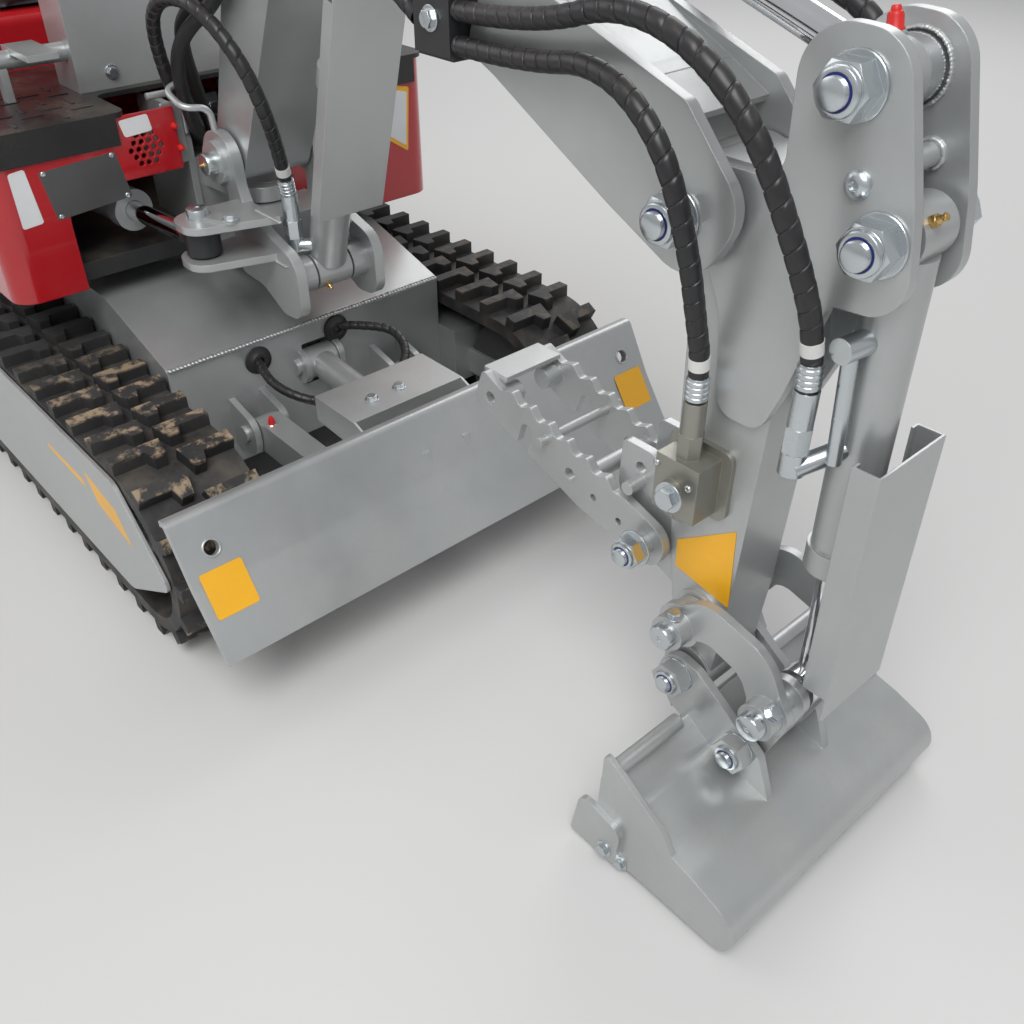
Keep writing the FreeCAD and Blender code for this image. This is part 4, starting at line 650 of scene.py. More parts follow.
class Bench:
    """Models meshes with Blender's operators and leaves them in the row frame."""

    @staticmethod
    def deselect() -> None:
        """Deselects every object."""
        bpy.ops.object.select_all(action="DESELECT")

    @classmethod
    def only(cls, piece: bpy.types.Object) -> None:
        """Selects one object alone and makes it active.

        Args:
            piece: The object.
        """
        cls.deselect()
        piece.select_set(True)
        bpy.context.view_layer.objects.active = piece

    @classmethod
    def link(cls, name: str, data: bpy.types.ID) -> bpy.types.Object:
        """Makes an object of some data and links it.

        Args:
            name: The object's name.
            data: Mesh or curve.

        Returns:
            The object.
        """
        piece = bpy.data.objects.new(name, data)
        bpy.context.scene.collection.objects.link(piece)
        return piece

    @classmethod
    def settle(cls, piece: bpy.types.Object) -> bpy.types.Object:
        """Moves an object's place, turn and size into its mesh.

        Args:
            piece: The object.

        Returns:
            The same object.
        """
        piece.data.transform(piece.matrix_basis)
        piece.matrix_basis = Matrix.Identity(4)
        return piece

    @classmethod
    def smooth(cls, piece: bpy.types.Object, degrees: float = 35.0) -> None:
        """Shades a piece smooth except at sharp edges.

        Args:
            piece: The piece.
            degrees: Angle from which an edge stays sharp.
        """
        cls.only(piece)
        bpy.ops.object.shade_smooth_by_angle(angle=math.radians(degrees))

    @classmethod
    def turned(cls, name: str, outline: Sequence[tuple[float, float]], sides: int = 20) -> bpy.types.Object:
        """Spins an outline about Z, as on a lathe.

        Args:
            name: The piece's name.
            outline: Radius and height of each corner, from axis to axis.
            sides: Steps of the spin.

        Returns:
            The piece.
        """
        mesh = bpy.data.meshes.new(name)
        corners = [(radius, 0.0, height) for radius, height in outline]
        mesh.from_pydata(corners, [(i, i + 1) for i in range(len(corners) - 1)], [])
        piece = cls.link(name, mesh)
        cls.only(piece)
        bpy.ops.object.mode_set(mode="EDIT")
        bpy.ops.mesh.select_all(action="SELECT")
        bpy.ops.mesh.spin(steps=sides, angle=math.tau, center=(0, 0, 0), axis=(0, 0, 1))
        bpy.ops.mesh.select_all(action="SELECT")
        bpy.ops.mesh.remove_doubles(threshold=1e-6)
        bpy.ops.mesh.normals_make_consistent(inside=False)
        bpy.ops.object.mode_set(mode="OBJECT")
        cls.smooth(piece)
        return piece

    @classmethod
    def hexagon(cls, name: str, radius: float, height: float, chamfer: float = 0.1) -> bpy.types.Object:
        """Makes a hexagonal head with its corners turned off, standing on Z 0.

        Args:
            name: The piece's name.
            radius: Half the width across corners.
            height: Its height.
            chamfer: Share of the radius that the chamfer takes.

        Returns:
            The piece.
        """
        middle = (0, 0, height / 2)
        bpy.ops.mesh.primitive_cylinder_add(vertices=6, radius=radius, depth=height, location=middle)
        piece = cls.settle(bpy.context.object)
        piece.name = name
        cut = radius * chamfer
        dome = cls.turned(
            name + "_cone",
            (
                (0, -height), (radius * 1.01, -height), (radius * 1.01, height - cut * 0.75),
                (radius - cut * 1.5, height), (0, height),
            ),
            36,
        )
        cls.only(piece)
        trim = piece.modifiers.new("trim", "BOOLEAN")
        trim.operation = "INTERSECT"
        trim.solver = "EXACT"
        trim.object = dome
        bpy.ops.object.modifier_apply(modifier=trim.name)
        bpy.data.objects.remove(dome)
        cls.smooth(piece, 25.0)
        return piece

    @classmethod
    def slab(
        cls, name: str, corners: Sequence[Point], thickness: float, rounding: float = 0.0, segments: int = 3
    ) -> bpy.types.Object:
        """Makes a flat plate from its corners, with rounded corners.

        Args:
            name: The piece's name.
            corners: Corners in order, anticlockwise seen from the plate's outer side.
            thickness: Thickness towards that side.
            rounding: Radius at the corners.
            segments: Steps of a corner.

        Returns:
            The plate.
        """
        mesh = bpy.data.meshes.new(name)
        mesh.from_pydata([tuple(corner) for corner in corners], [], [tuple(range(len(corners)))])
        piece = cls.link(name, mesh)
        cls.only(piece)
        bpy.ops.object.mode_set(mode="EDIT")
        bpy.ops.mesh.select_all(action="SELECT")
        if rounding > 0:
            bpy.ops.mesh.bevel(offset=rounding, segments=segments, affect="VERTICES")
            bpy.ops.mesh.select_all(action="SELECT")
        out = mesh_normal(corners) * thickness
        bpy.ops.mesh.extrude_region_move(TRANSFORM_OT_translate={"value": tuple(out)})
        bpy.ops.mesh.select_all(action="SELECT")
        bpy.ops.mesh.normals_make_consistent(inside=False)
        bpy.ops.object.mode_set(mode="OBJECT")
        cls.smooth(piece)
        return piece

    @classmethod
    def rod(
        cls, name: str, points: Sequence[Point], radius: float, bend: float, segments: int = 6
    ) -> bpy.types.Object:
        """Makes a round bar bent at its corners.

        Args:
            name: The piece's name.
            points: Ends and corners of its axis.
            radius: The bar's radius.
            bend: Distance from each corner at which its bend starts.
            segments: Steps of a bend.

        Returns:
            The bar.
        """
        mesh = bpy.data.meshes.new(name)
        mesh.from_pydata([tuple(p) for p in points], [(i, i + 1) for i in range(len(points) - 1)], [])
        piece = cls.link(name, mesh)
        cls.only(piece)
        bpy.ops.object.mode_set(mode="EDIT")
        bpy.ops.mesh.select_all(action="DESELECT")
        bpy.ops.object.mode_set(mode="OBJECT")
        for vertex in list(piece.data.vertices)[1:-1]:
            vertex.select = True
        bpy.ops.object.mode_set(mode="EDIT")
        if len(points) > 2:
            bpy.ops.mesh.bevel(offset=bend, segments=segments, affect="VERTICES")
        bpy.ops.object.mode_set(mode="OBJECT")
        bpy.ops.object.convert(target="CURVE")
        piece = bpy.context.object
        piece.data.bevel_depth = radius
        piece.data.bevel_resolution = 3
        piece.data.use_fill_caps = True
        bpy.ops.object.convert(target="MESH")
        piece = bpy.context.object
        cls.smooth(piece, 50.0)
        return piece

    @classmethod
    def copy(cls, pattern: bpy.types.Object, matrix: Matrix, name: str) -> bpy.types.Object:
        """Copies a pattern with a mesh of its own.

        Args:
            pattern: The modelled pattern.
            matrix: The copy's place in the row frame.
            name: The copy's name.

        Returns:
            The copy.
        """
        piece = pattern.copy()
        piece.data = pattern.data.copy()
        piece.name = name
        bpy.context.scene.collection.objects.link(piece)
        piece.data.transform(matrix)
        piece.matrix_basis = Matrix.Identity(4)
        return piece

    @classmethod
    def join(cls, pieces: Sequence[bpy.types.Object], name: str) -> bpy.types.Object:
        """Joins pieces into one.

        Args:
            pieces: The pieces.
            name: The joined piece's name.

        Returns:
            The joined piece.
        """
        cls.deselect()
        for piece in pieces:
            piece.select_set(True)
        bpy.context.view_layer.objects.active = pieces[0]
        if len(pieces) > 1:
            bpy.ops.object.join()
        pieces[0].name = name
        return pieces[0]


def mesh_normal(corners: Sequence[Point]) -> Vector:
    """Gives a flat outline's unit normal.

    Args:
        corners: Its corners in order.

    Returns:
        The normal.
    """
    first = Vector(corners[0])
    total = Vector((0.0, 0.0, 0.0))
    for second, third in zip(corners[1:], corners[2:]):
        total += (Vector(second) - first).cross(Vector(third) - first)
    return total.normalized()


def standing(place: Point, axis: Point, size: float = 1.0, turn: float = 0.0) -> Matrix:
    """Gives the place of a pattern whose Z points along an axis.

    Args:
        place: Where its origin goes.
        axis: Where its Z points.
        size: Its scale.
        turn: Turn about its own axis, in degrees.

    Returns:
        The matrix.
    """
    swing = Vector(axis).to_track_quat("Z", "Y").to_matrix().to_4x4()
    spin = Matrix.Rotation(math.radians(turn), 4, "Z")
    return Matrix.Translation(Vector(place)) @ swing @ spin @ Matrix.Scale(size, 4)


@dataclass(frozen=True)
class Line:
    """One hose's bodies, radius and control points."""

    node: str
    first: str
    last: str
    radius: float
    wrapped: bool
    points: tuple[Point, ...]


def flipped(points: Sequence[Point]) -> tuple[Point, ...]:
    """Mirrors points to the machine's other side."""
    return tuple((x, -y, z) for x, y, z in points)


HOUSE_LINES: tuple[tuple[Point, ...], ...] = (
    ((0.090, -0.034, 0.596), (0.160, -0.036, 0.604), (0.218, -0.048, 0.628), (0.260, -0.080, 0.664),
     (0.282, -0.096, 0.715)),
    ((0.090, -0.006, 0.596), (0.156, -0.008, 0.602), (0.214, -0.022, 0.634), (0.246, -0.052, 0.690),
     (0.262, -0.068, 0.745)),
    ((0.090, -0.034, 0.632), (0.150, -0.036, 0.644), (0.200, -0.054, 0.668), (0.236, -0.093, 0.706),
     (0.258, -0.110, 0.758)),
)
RISER_LINES: tuple[tuple[Point, ...], ...] = (
    ((0.282, -0.096, 0.715), (0.3029, -0.1112, 0.76345), (0.352, -0.108, 0.822), (0.420, -0.080, 0.868),
     (0.466, -0.076, 0.926)),
    ((0.262, -0.068, 0.745), (0.278, -0.084, 0.800), (0.330, -0.088, 0.846), (0.398, -0.080, 0.874),
     (0.445, -0.076, 0.945)),
)
BOOM_LINES: tuple[tuple[Point, ...], ...] = (
    ((0.466, -0.076, 0.926), (0.5028, -0.0728, 0.9724), (0.562, -0.075, 1.036), (0.650, -0.077, 1.048),
     (0.775, -0.081, 0.984), (0.912, -0.091, 0.919)),
    ((0.445, -0.076, 0.945), (0.4779, -0.0732, 0.9947), (0.545, -0.076, 1.070), (0.640, -0.077, 1.084),
     (0.775, -0.081, 1.016), (0.912, -0.091, 0.952)),
)
ARM_LINES: tuple[tuple[Point, ...], ...] = (
    ((0.9808, -0.091, 0.899), (1.100, -0.098, 0.903), (1.210, -0.112, 0.925), (1.300, -0.122, 0.880),
     (1.334, -0.108, 0.780), (1.338, -0.088, 0.700), (1.337, -0.071, 0.650), (1.337, -0.071, 0.604)),
    ((0.9812, -0.091, 0.934), (1.110, -0.104, 0.940), (1.262, -0.124, 0.986), (1.386, -0.124, 0.930),
     (1.446, -0.096, 0.800), (1.458, -0.062, 0.712), (1.458, -0.062, 0.666)),
    ((0.982, 0.091, 0.916), (1.110, 0.104, 0.944), (1.262, 0.124, 0.990), (1.386, 0.124, 0.930),
     (1.446, 0.096, 0.800), (1.458, 0.062, 0.712), (1.458, 0.062, 0.666)),
)
CYLINDER_LINE: tuple[Point, ...] = (
    (0.489, -0.047, 0.596), (0.503, -0.060, 0.654), (0.534, -0.090, 0.732), (0.524, -0.114, 0.812),
    (0.452, -0.130, 0.874), (0.362, -0.138, 0.876), (0.2866, -0.1321, 0.8256), (0.258, -0.110, 0.758),
)
BLADE_LINES: tuple[tuple[Point, ...], ...] = (
    ((0.434, -0.120, 0.304), (0.480, -0.136, 0.303), (0.534, -0.138, 0.296), (0.578, -0.112, 0.284),
     (0.594, -0.070, 0.270), (0.594, -0.035, 0.260)),
    ((0.437, 0.051, 0.317), (0.493, 0.106, 0.320), (0.536, 0.115, 0.310), (0.576, 0.098, 0.296),
     (0.598, 0.061, 0.280), (0.598, 0.033, 0.266)),
)


@dataclass
class Hoses:
    """Hydraulic hoses: black rubber, most of them under a spiral guard of wound plastic strip."""

    thick: float = 0.011
    thin: float = 0.008
    pitch: float = 0.020
    thin_pitch: float = 0.0155
    sides: int = 20
    resolution: int = 110
    path_step: int = 6
    weld: float = 1e-6
    guard: Outline = (
        (0.00, 0.87), (0.05, 0.965), (0.22, 1.0), (0.62, 0.99), (0.93, 0.955), (0.96, 0.87)
    )
    plain: Outline = ((0.0, 1.0), (0.5, 1.0))
    laid: dict[str, tuple[Line, list[Frame]]] = field(default_factory=dict)

    def lines(self) -> list[Line]:
        """Lists every hose.

        Returns:
            The hoses.
        """
        lift, swing, house = "boom_body", "swing_body", "house"
        sets = (
            ("hoses_blade", "undercarriage", "blade_barrel_body", self.thin, True, BLADE_LINES),
            ("hoses_house", house, swing, self.thick, False,
             HOUSE_LINES + (flipped(HOUSE_LINES[0]), flipped(HOUSE_LINES[2]))),
            ("hoses_riser", swing, lift, self.thick, False, RISER_LINES + (flipped(RISER_LINES[0]),)),
            ("hoses_boom", lift, lift, self.thick, True, BOOM_LINES + (flipped(BOOM_LINES[0]),)),
            ("hoses_arm", lift, "arm_body", self.thick, True, ARM_LINES),
            ("hoses_boom_cylinder", "boom_barrel_body", swing, self.thick, True,
             (CYLINDER_LINE, flipped(CYLINDER_LINE))),
        )
        return [Line(*settings, points) for *settings, runs in sets for points in runs]

    def build(self, finishes: dict[str, bpy.types.Material]) -> None:
        """Makes and dresses every hose.

        Args:
            finishes: Materials by name.
        """
        count: dict[str, int] = {}
        for line in self.lines():
            count[line.node] = count.get(line.node, 0) + 1
            name = f"{line.node}_{count[line.node]}"
            frames = self.frames(name, line)
            self.laid[name] = (line, frames)
            hose = self.tube(name, frames, line)
            hose.data.materials.append(finishes["GUARD" if line.wrapped else "HOSE"])
            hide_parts(line.node)
            if line.first == line.last:
                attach(hose, line.first)
            else:
                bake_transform(hose)
            LOG.info("%s is %.0f mm long", name, frames[-1].travelled * 1000)

    def frames(self, name: str, line: Line) -> list[Frame]:
        """Reads a hose's line from its NURBS spline.

        Args:
            name: The hose's name.
            line: The hose.

        Returns:
            Closely spaced points with directions that don't twist.
        """
        curve = bpy.data.curves.new(name, "CURVE")
        curve.dimensions = "3D"
        curve.resolution_u = self.resolution
        spline = curve.splines.new("NURBS")
        spline.points.add(len(line.points) - 1)
        for point, place in zip(spline.points, line.points):
            point.co = (*place, 1.0)
        spline.order_u = 3
        spline.use_endpoint_u = True
        holder = Bench.link(name + "_line", curve)
        bpy.context.view_layer.update()
        mesh = bpy.data.meshes.new_from_object(holder)
        places = [vertex.co.copy() for vertex in mesh.vertices]
        bpy.data.objects.remove(holder)
        bpy.data.meshes.remove(mesh)
        found: list[Frame] = []
        side = Vector((0.0, 0.0, 1.0))
        travelled = 0.0
        for i, place in enumerate(places):
            ahead = (places[min(i + 1, len(places) - 1)] - places[max(i - 1, 0)]).normalized()
            side = (side - ahead * side.dot(ahead)).normalized()
            travelled += (place - places[i - 1]).length if i else 0.0
            found.append(Frame(place, ahead, side, ahead.cross(side), travelled))
        return found

    def tube(self, name: str, frames: list[Frame], line: Line) -> bpy.types.Object:
        """Makes the tube, with the strip's turns as a helical relief where it is wrapped.

        Args:
            name: The piece's name.
            frames: The hose's line.
            line: The hose.

        Returns:
            The tube.
        """
        profile = self.guard if line.wrapped else self.plain
        pitch = self.thin_pitch if line.radius < self.thick else self.pitch
        length = frames[-1].travelled
        turns = math.ceil(length / pitch) + 1
        rings = [(turn + phase, share) for turn in range(-1, turns) for phase, share in profile]
        mesh = bmesh.new()
        grid = []
        last = len(frames) - 1
        for place, share in rings:
            row = []
            for j in range(self.sides):
                along = min(max(pitch * (place + j / self.sides), 0.0), length)
                frame = frames[self.nearest(frames, along, last)]
                angle = math.tau * j / self.sides
                out = frame.side * math.cos(angle) + frame.over * math.sin(angle)
                row.append(mesh.verts.new(frame.place + out * line.radius * share))
            grid.append(row)
        step = len(profile)
        for i in range(len(grid) - 1):
            for j in range(self.sides):
                if j + 1 < self.sides:
                    after, above = grid[i][j + 1], grid[i + 1][j + 1]
                elif i + step + 1 < len(grid):
                    after, above = grid[i + step][0], grid[i + step + 1][0]
                else:
                    continue
                mesh.faces.new((grid[i][j], grid[i + 1][j], above, after))
        bmesh.ops.remove_doubles(mesh, verts=mesh.verts, dist=self.weld)
        bmesh.ops.dissolve_degenerate(mesh, edges=mesh.edges, dist=self.weld)
        bmesh.ops.holes_fill(mesh, edges=mesh.edges, sides=4 * self.sides)
        bmesh.ops.recalc_face_normals(mesh, faces=mesh.faces)
        data = bpy.data.meshes.new(name)
        mesh.to_mesh(data)
        mesh.free()
        piece = Bench.link(name, data)
        Bench.smooth(piece, 40.0)
        return piece

    @staticmethod
    def nearest(frames: list[Frame], along: float, last: int) -> int:
        """Finds the point of a line at a distance from its start.

        Args:
            frames: The line.
            along: The distance.
            last: The last point's index.

        Returns:
            The nearest point's index.
        """
        low = bisect.bisect_left(frames, along, key=lambda frame: frame.travelled)
        return min(low, last)


@dataclass
class Crimps:
    """Pressed sleeves and white bands at the hoses' ends. Radii are shares of the hose's radius."""

    tray: "Tray"
    sleeve: float = 0.030
    rings: int = 4
    ring_start: float = 0.0035
    ring_pitch: float = 0.0062
    ring_outline: Outline = ((1.16, 0.0), (1.18, 0.0042), (1.10, 0.0050), (1.10, 0.0058))
    tape_outline: Outline = (
        (0.8, 0.0), (1.05, 0.0), (1.06, 0.004), (1.05, 0.014), (0.8, 0.014), (0.8, 0.0)
    )
    sides: int = 24
    least_taped: float = 0.009
    tape_start: float = 0.040
    tape_end: float = 0.054
    ends: dict[str, tuple[bool, bool]] = field(
        default_factory=lambda: {
            "hoses_arm": (False, True),
            "hoses_boom_cylinder": (True, False),
            "hoses_house": (True, False),
            "hoses_blade": (False, True),
        }
    )

    def build(self, hoses: Hoses) -> None:
        """Fits the ends of every hose that ends at a port.

        Args:
            hoses: The built hoses.
        """
        for name, (line, frames) in hoses.laid.items():
            first, last = self.ends.get(line.node, (False, False))
            if first:
                self.fit(line, frames, line.first)
            if last:
                self.fit(line, frames[::-1], line.last)

    def fit(self, line: Line, frames: list[Frame], body: str) -> None:
        """Fits one end.

        Args:
            line: The hose.
            frames: Its line, from the end that is fitted.
            body: The body of that end.
        """
        radius = line.radius
        start = frames[0].place
        near = self.at(frames, self.sleeve)
        axis = (near - start).normalized()
        outline = [(0.0, 0.0), (radius * 0.9, 0.0), (radius * 0.92, 0.003)]
        for i in range(self.rings):
            low = self.ring_start + self.ring_pitch * i
            outline += [(radius * share, low + height) for share, height in self.ring_outline]
        outline += [(radius * 1.02, self.sleeve), (0.0, self.sleeve)]
        sleeve = Bench.turned("crimp", outline, self.sides)
        self.tray.put(self.placed(sleeve, start, axis), "crimps", body, "ZINC")
        if radius > self.least_taped and line.node != "hoses_house":
            first, second = self.at(frames, self.tape_start), self.at(frames, self.tape_end)
            outline = [(radius * share, height) for share, height in self.tape_outline]
            tape = Bench.turned("tape", outline, self.sides)
            self.tray.put(self.placed(tape, first, (second - first).normalized()), "tape", body, "TAPE")

    @staticmethod
    def placed(piece: bpy.types.Object, place: Vector, axis: Vector) -> bpy.types.Object:
        """Moves a turned piece's mesh to its place.

        Args:
            piece: The piece, along Z.
            place: Its foot.
            axis: Its direction.

        Returns:
            The piece.
        """
        piece.data.transform(standing(tuple(place), tuple(axis)))
        return piece

    @staticmethod
    def at(frames: list[Frame], along: float) -> Vector:
        """Gives the point at a distance from the first frame.

        Args:
            frames: The line.
            along: The distance.

        Returns:
            The point.
        """
        start = frames[0].travelled
        return min(frames, key=lambda frame: abs(abs(frame.travelled - start) - along)).place


@dataclass(frozen=True)
class PhotoView:
    """The photograph's view, which also finds where one of its pixels meets the machine."""

    place: Point = (1.890, -0.830, 1.150)
    forward: Point = (-0.5934, 0.5328, -0.6032)
    right: Point = (0.668, 0.744, 0.0)
    focal: float = 1000.0

    def axes(self) -> tuple[Vector, Vector, Vector]:
        """Gives the view's right, up and forward directions.

        Returns:
            The three unit vectors.
        """
        forward = Vector(self.forward).normalized()
        right = Vector(self.right).normalized()
        return right, right.cross(forward), forward

    def meet(self, node: bpy.types.Object, pixel: tuple[float, float]) -> tuple[Vector, Vector] | None:
        """Finds the first point of a node that lies behind a pixel.

        Args:
            node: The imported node.
            pixel: Column and row in the photograph.

        Returns:
            The point and the surface's normal there, or None.
        """
        right, up, forward = self.axes()
        half = IMAGE_SIDE / 2
        ray = right * (pixel[0] - half) - up * (pixel[1] - half) + forward * self.focal
        found, place, normal, _ = node.ray_cast(Vector(self.place), ray.normalized())
        if not found:
            LOG.warning("%s isn't behind pixel %s", node.name, pixel)
            return None
        return place, normal


@dataclass
class Tray:
    """Gathers modelled copies and joins those of one group, body and finish into one piece."""

    finishes: dict[str, bpy.types.Material]
    bodies: dict[str, str]
    loads: dict[tuple[str, str, str], list[bpy.types.Object]] = field(default_factory=dict)
    patterns: list[bpy.types.Object] = field(default_factory=list)

    def keep(self, pattern: bpy.types.Object) -> bpy.types.Object:
        """Remembers a pattern, which is removed at the end."""
        self.patterns.append(pattern)
        return pattern

    def put(self, piece: bpy.types.Object, group: str, body: str, finish: str) -> None:
        """Adds one piece.

        Args:
            piece: The piece, in the row frame.
            group: The sub-assembly's name.
            body: The body that it rides on.
            finish: The finish's name.
        """
        self.loads.setdefault((group, body, finish), []).append(piece)

    def lay(self, pattern: bpy.types.Object, matrix: Matrix, group: str, body: str, finish: str) -> None:
        """Adds a copy of a pattern.

        Args:
            pattern: The pattern.
            matrix: The copy's place.
            group: The sub-assembly's name.
            body: The body that it rides on.
            finish: The finish's name.
        """
        self.put(Bench.copy(pattern, matrix, pattern.name + "_copy"), group, body, finish)

    def close(self) -> None:
        """Joins, dresses and rides every load, and removes the patterns."""
        for (group, body, finish), pieces in self.loads.items():
            piece = Bench.join(pieces, f"{group}_{body}_{finish.lower()}")
            piece.data.materials.clear()
            piece.data.materials.append(self.finishes[finish])
            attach(piece, body)
            getattr(Paints, finish).slot.value
            LOG.info("%s has %d faces", piece.name, len(piece.data.polygons))
        for pattern in self.patterns:
            bpy.data.objects.remove(pattern)


class Kind(Enum):
    """Kinds of hardware."""

    NUT = "nut"
    BOLT = "bolt"
    NIPPLE = "nipple"
    CAP = "cap"
    SCREW = "screw"
    PIN = "pin"


@dataclass
class Hardware:
    """Nuts, bolts, pins, screws, grease nipples and caps.

    A nut, bolt, screw or pin is modelled at a radius of 1; a nipple and a cap at their size in metres.
    """

    tray: Tray
    nut_foot: float = 0.14
    nut_height: float = 0.86
    washer: float = 1.12
    collar: float = 0.80
    thread: float = 0.52
    thread_depth: float = 0.03
    thread_pitch: float = 0.035
    thread_steps: int = 11
    bolt_foot: float = 0.16
    bolt_height: float = 0.68
    bolt_chamfer: float = 0.12
    washer_outline: Outline = ((0, 0), (1.35, 0), (1.38, 0.04), (1.38, 0.13), (1.34, 0.16), (0, 0.16))
    nipple_hex: float = 0.0052
    nipple_foot: float = 0.005
    nipple_outline: Outline = (
        (0, 0.004), (0.0036, 0.004), (0.0032, 0.007), (0.0024, 0.0085), (0.0024, 0.0095), (0.0033, 0.0108),
        (0.0031, 0.0122), (0.0018, 0.013), (0, 0.013),
    )
    cap_foot: Outline = ((0, 0), (0.0072, 0), (0.0074, 0.0012), (0.0060, 0.0026), (0, 0.0026))
    cap_radius: float = 0.0052
    cap_outline: Outline = (
        (0, 0.002), (1.12, 0.002), (1.14, 0.0035), (1, 0.0045), (0.96, 0.0105), (0.80, 0.0125),
        (0.62, 0.0130), (0.58, 0.015), (0.42, 0.016), (0, 0.016),
    )
    screw_outline: Outline = (
        (0, 0), (1, 0), (1, 0.2), (0.86, 0.45), (0.55, 0.6), (0.34, 0.62), (0.28, 0.4), (0, 0.4)
    )
    pin_outline: Outline = (
        (0, 0), (1, 0), (1, 0.82), (0.93, 0.92), (0.82, 0.96), (0.22, 0.98), (0.12, 0.86), (0, 0.82)
    )
    coarse: int = 18
    fine: int = 28
    parts: dict[Kind, list[tuple[str, bpy.types.Object]]] = field(default_factory=dict)

    def model(self) -> None:
        """Models every pattern once, standing on Z 0, with its finish's name."""
        self.parts = {
            Kind.NUT: self._nut(),
            Kind.BOLT: self._bolt(),
            Kind.NIPPLE: self._nipple(),
            Kind.CAP: self._cap(),
            Kind.SCREW: [("ZINC", Bench.turned("screw", self.screw_outline, self.coarse))],
            Kind.PIN: [("ZINC", Bench.turned("pin", self.pin_outline, 32))],
        }
        for pieces in self.parts.values():
            for _, pattern in pieces:
                self.tray.keep(pattern)

    def _nut(self) -> list[tuple[str, bpy.types.Object]]:
        """Models a lock nut with its washer, nylon ring and bolt end.

        Returns:
            Finish and pattern of each part.
        """
        foot, rim, hole = self.nut_foot, self.washer, self.thread
        top = foot + self.nut_height
        washer = Bench.turned(
            "washer",
            ((0, 0), (rim - 0.02, 0), (rim, 0.03), (rim, foot - 0.03), (rim - 0.03, foot), (0, foot)),
            self.fine,
        )
        nut = Bench.hexagon("nut", 1.0, self.nut_height)
        nut.data.transform(Matrix.Translation((0, 0, foot)))
        collar = Bench.turned(
            "collar",
            (
                (0, top - 0.05), (self.collar, top - 0.05), (self.collar, top + 0.12),
                (self.collar - 0.03, top + 0.2), (self.collar - 0.1, top + 0.24), (hole + 0.08, top + 0.24),
                (hole + 0.05, top + 0.16), (0, top + 0.16),
            ),
            self.fine,
        )
        turns = range(self.thread_steps)
        steps = [(hole - self.thread_depth * (i % 2), top + 0.1 + self.thread_pitch * i) for i in turns]
        end = Bench.turned("bolt_end", ((0, top), *steps, (hole - 0.08, top + 0.5), (0, top + 0.5)), 24)
        ring = Bench.turned(
            "nylon_ring",
            (
                (hole - 0.02, top + 0.17), (hole + 0.08, top + 0.17), (hole + 0.07, top + 0.25),
                (hole - 0.02, top + 0.25), (hole - 0.02, top + 0.17),
            ),
            self.fine,
        )
        return [("ZINC", Bench.join([washer, nut, collar, end], "lock_nut")), ("BLUE", ring)]

    def _bolt(self) -> list[tuple[str, bpy.types.Object]]:
        """Models a hexagonal bolt head on its washer.

        Returns:
            Finish and pattern of each part.
        """
        washer = Bench.turned("bolt_washer", self.washer_outline, 24)
        head = Bench.hexagon("bolt_head", 1.0, self.bolt_height, self.bolt_chamfer)
        head.data.transform(Matrix.Translation((0, 0, self.bolt_foot)))
        return [("ZINC", Bench.join([washer, head], "bolt"))]

    def _nipple(self) -> list[tuple[str, bpy.types.Object]]:
        """Models a brass grease nipple.

        Returns:
            Finish and pattern of each part.
        """
        foot = Bench.hexagon("nipple_foot", self.nipple_hex, self.nipple_foot)
        neck = Bench.turned("nipple_neck", self.nipple_outline, 16)
        return [("BRASS", Bench.join([foot, neck], "nipple"))]

    def _cap(self) -> list[tuple[str, bpy.types.Object]]:
        """Models a soft red cap on a nipple's foot.

        Returns:
            Finish and pattern of each part.
        """
        foot = Bench.turned("cap_foot", self.cap_foot, self.coarse)
        outline = [(self.cap_radius * share, height) for share, height in self.cap_outline]
        return [("ZINC", foot), ("CAP", Bench.turned("cap", outline, self.coarse))]

    def fit(
        self, kind: Kind, group: str, body: str, place: Point, axis: Point, size: float = 1.0,
        turn: float = 30.0,
    ) -> None:
        """Fits one copy.

        Args:
            kind: The hardware.
            group: The sub-assembly's name.
            body: The body that it rides on.
            place: Where it sits.
            axis: Where it points.
            size: Its scale.
            turn: Turn about its axis, in degrees.
        """
        for finish, pattern in self.parts[kind]:
            self.tray.lay(pattern, standing(place, axis, size, turn), group, body, finish)

    def pair(
        self, kind: Kind, group: str, body: str, place: Point, axis: Point, size: float = 1.0,
        turn: float = 30.0,
    ) -> None:
        """Fits one copy and its mirror image on the other side.

        Args:
            kind: The hardware.
            group: The sub-assembly's name.
            body: The body that it rides on.
            place: Where the right one sits.
            axis: Where it points.
            size: Its scale.
            turn: Turn about its axis, in degrees.
        """
        self.fit(kind, group, body, place, axis, size, turn)
        self.fit(kind, group, body, (place[0], -place[1], place[2]), (axis[0], -axis[1], axis[2]), size, turn)


@dataclass(frozen=True)
class Spot:
    """One piece of hardware, placed where a pixel of the photograph meets a node."""

    node: str
    kind: Kind
    pixel: tuple[float, float]
    size: float = 1.0
    both: bool = False


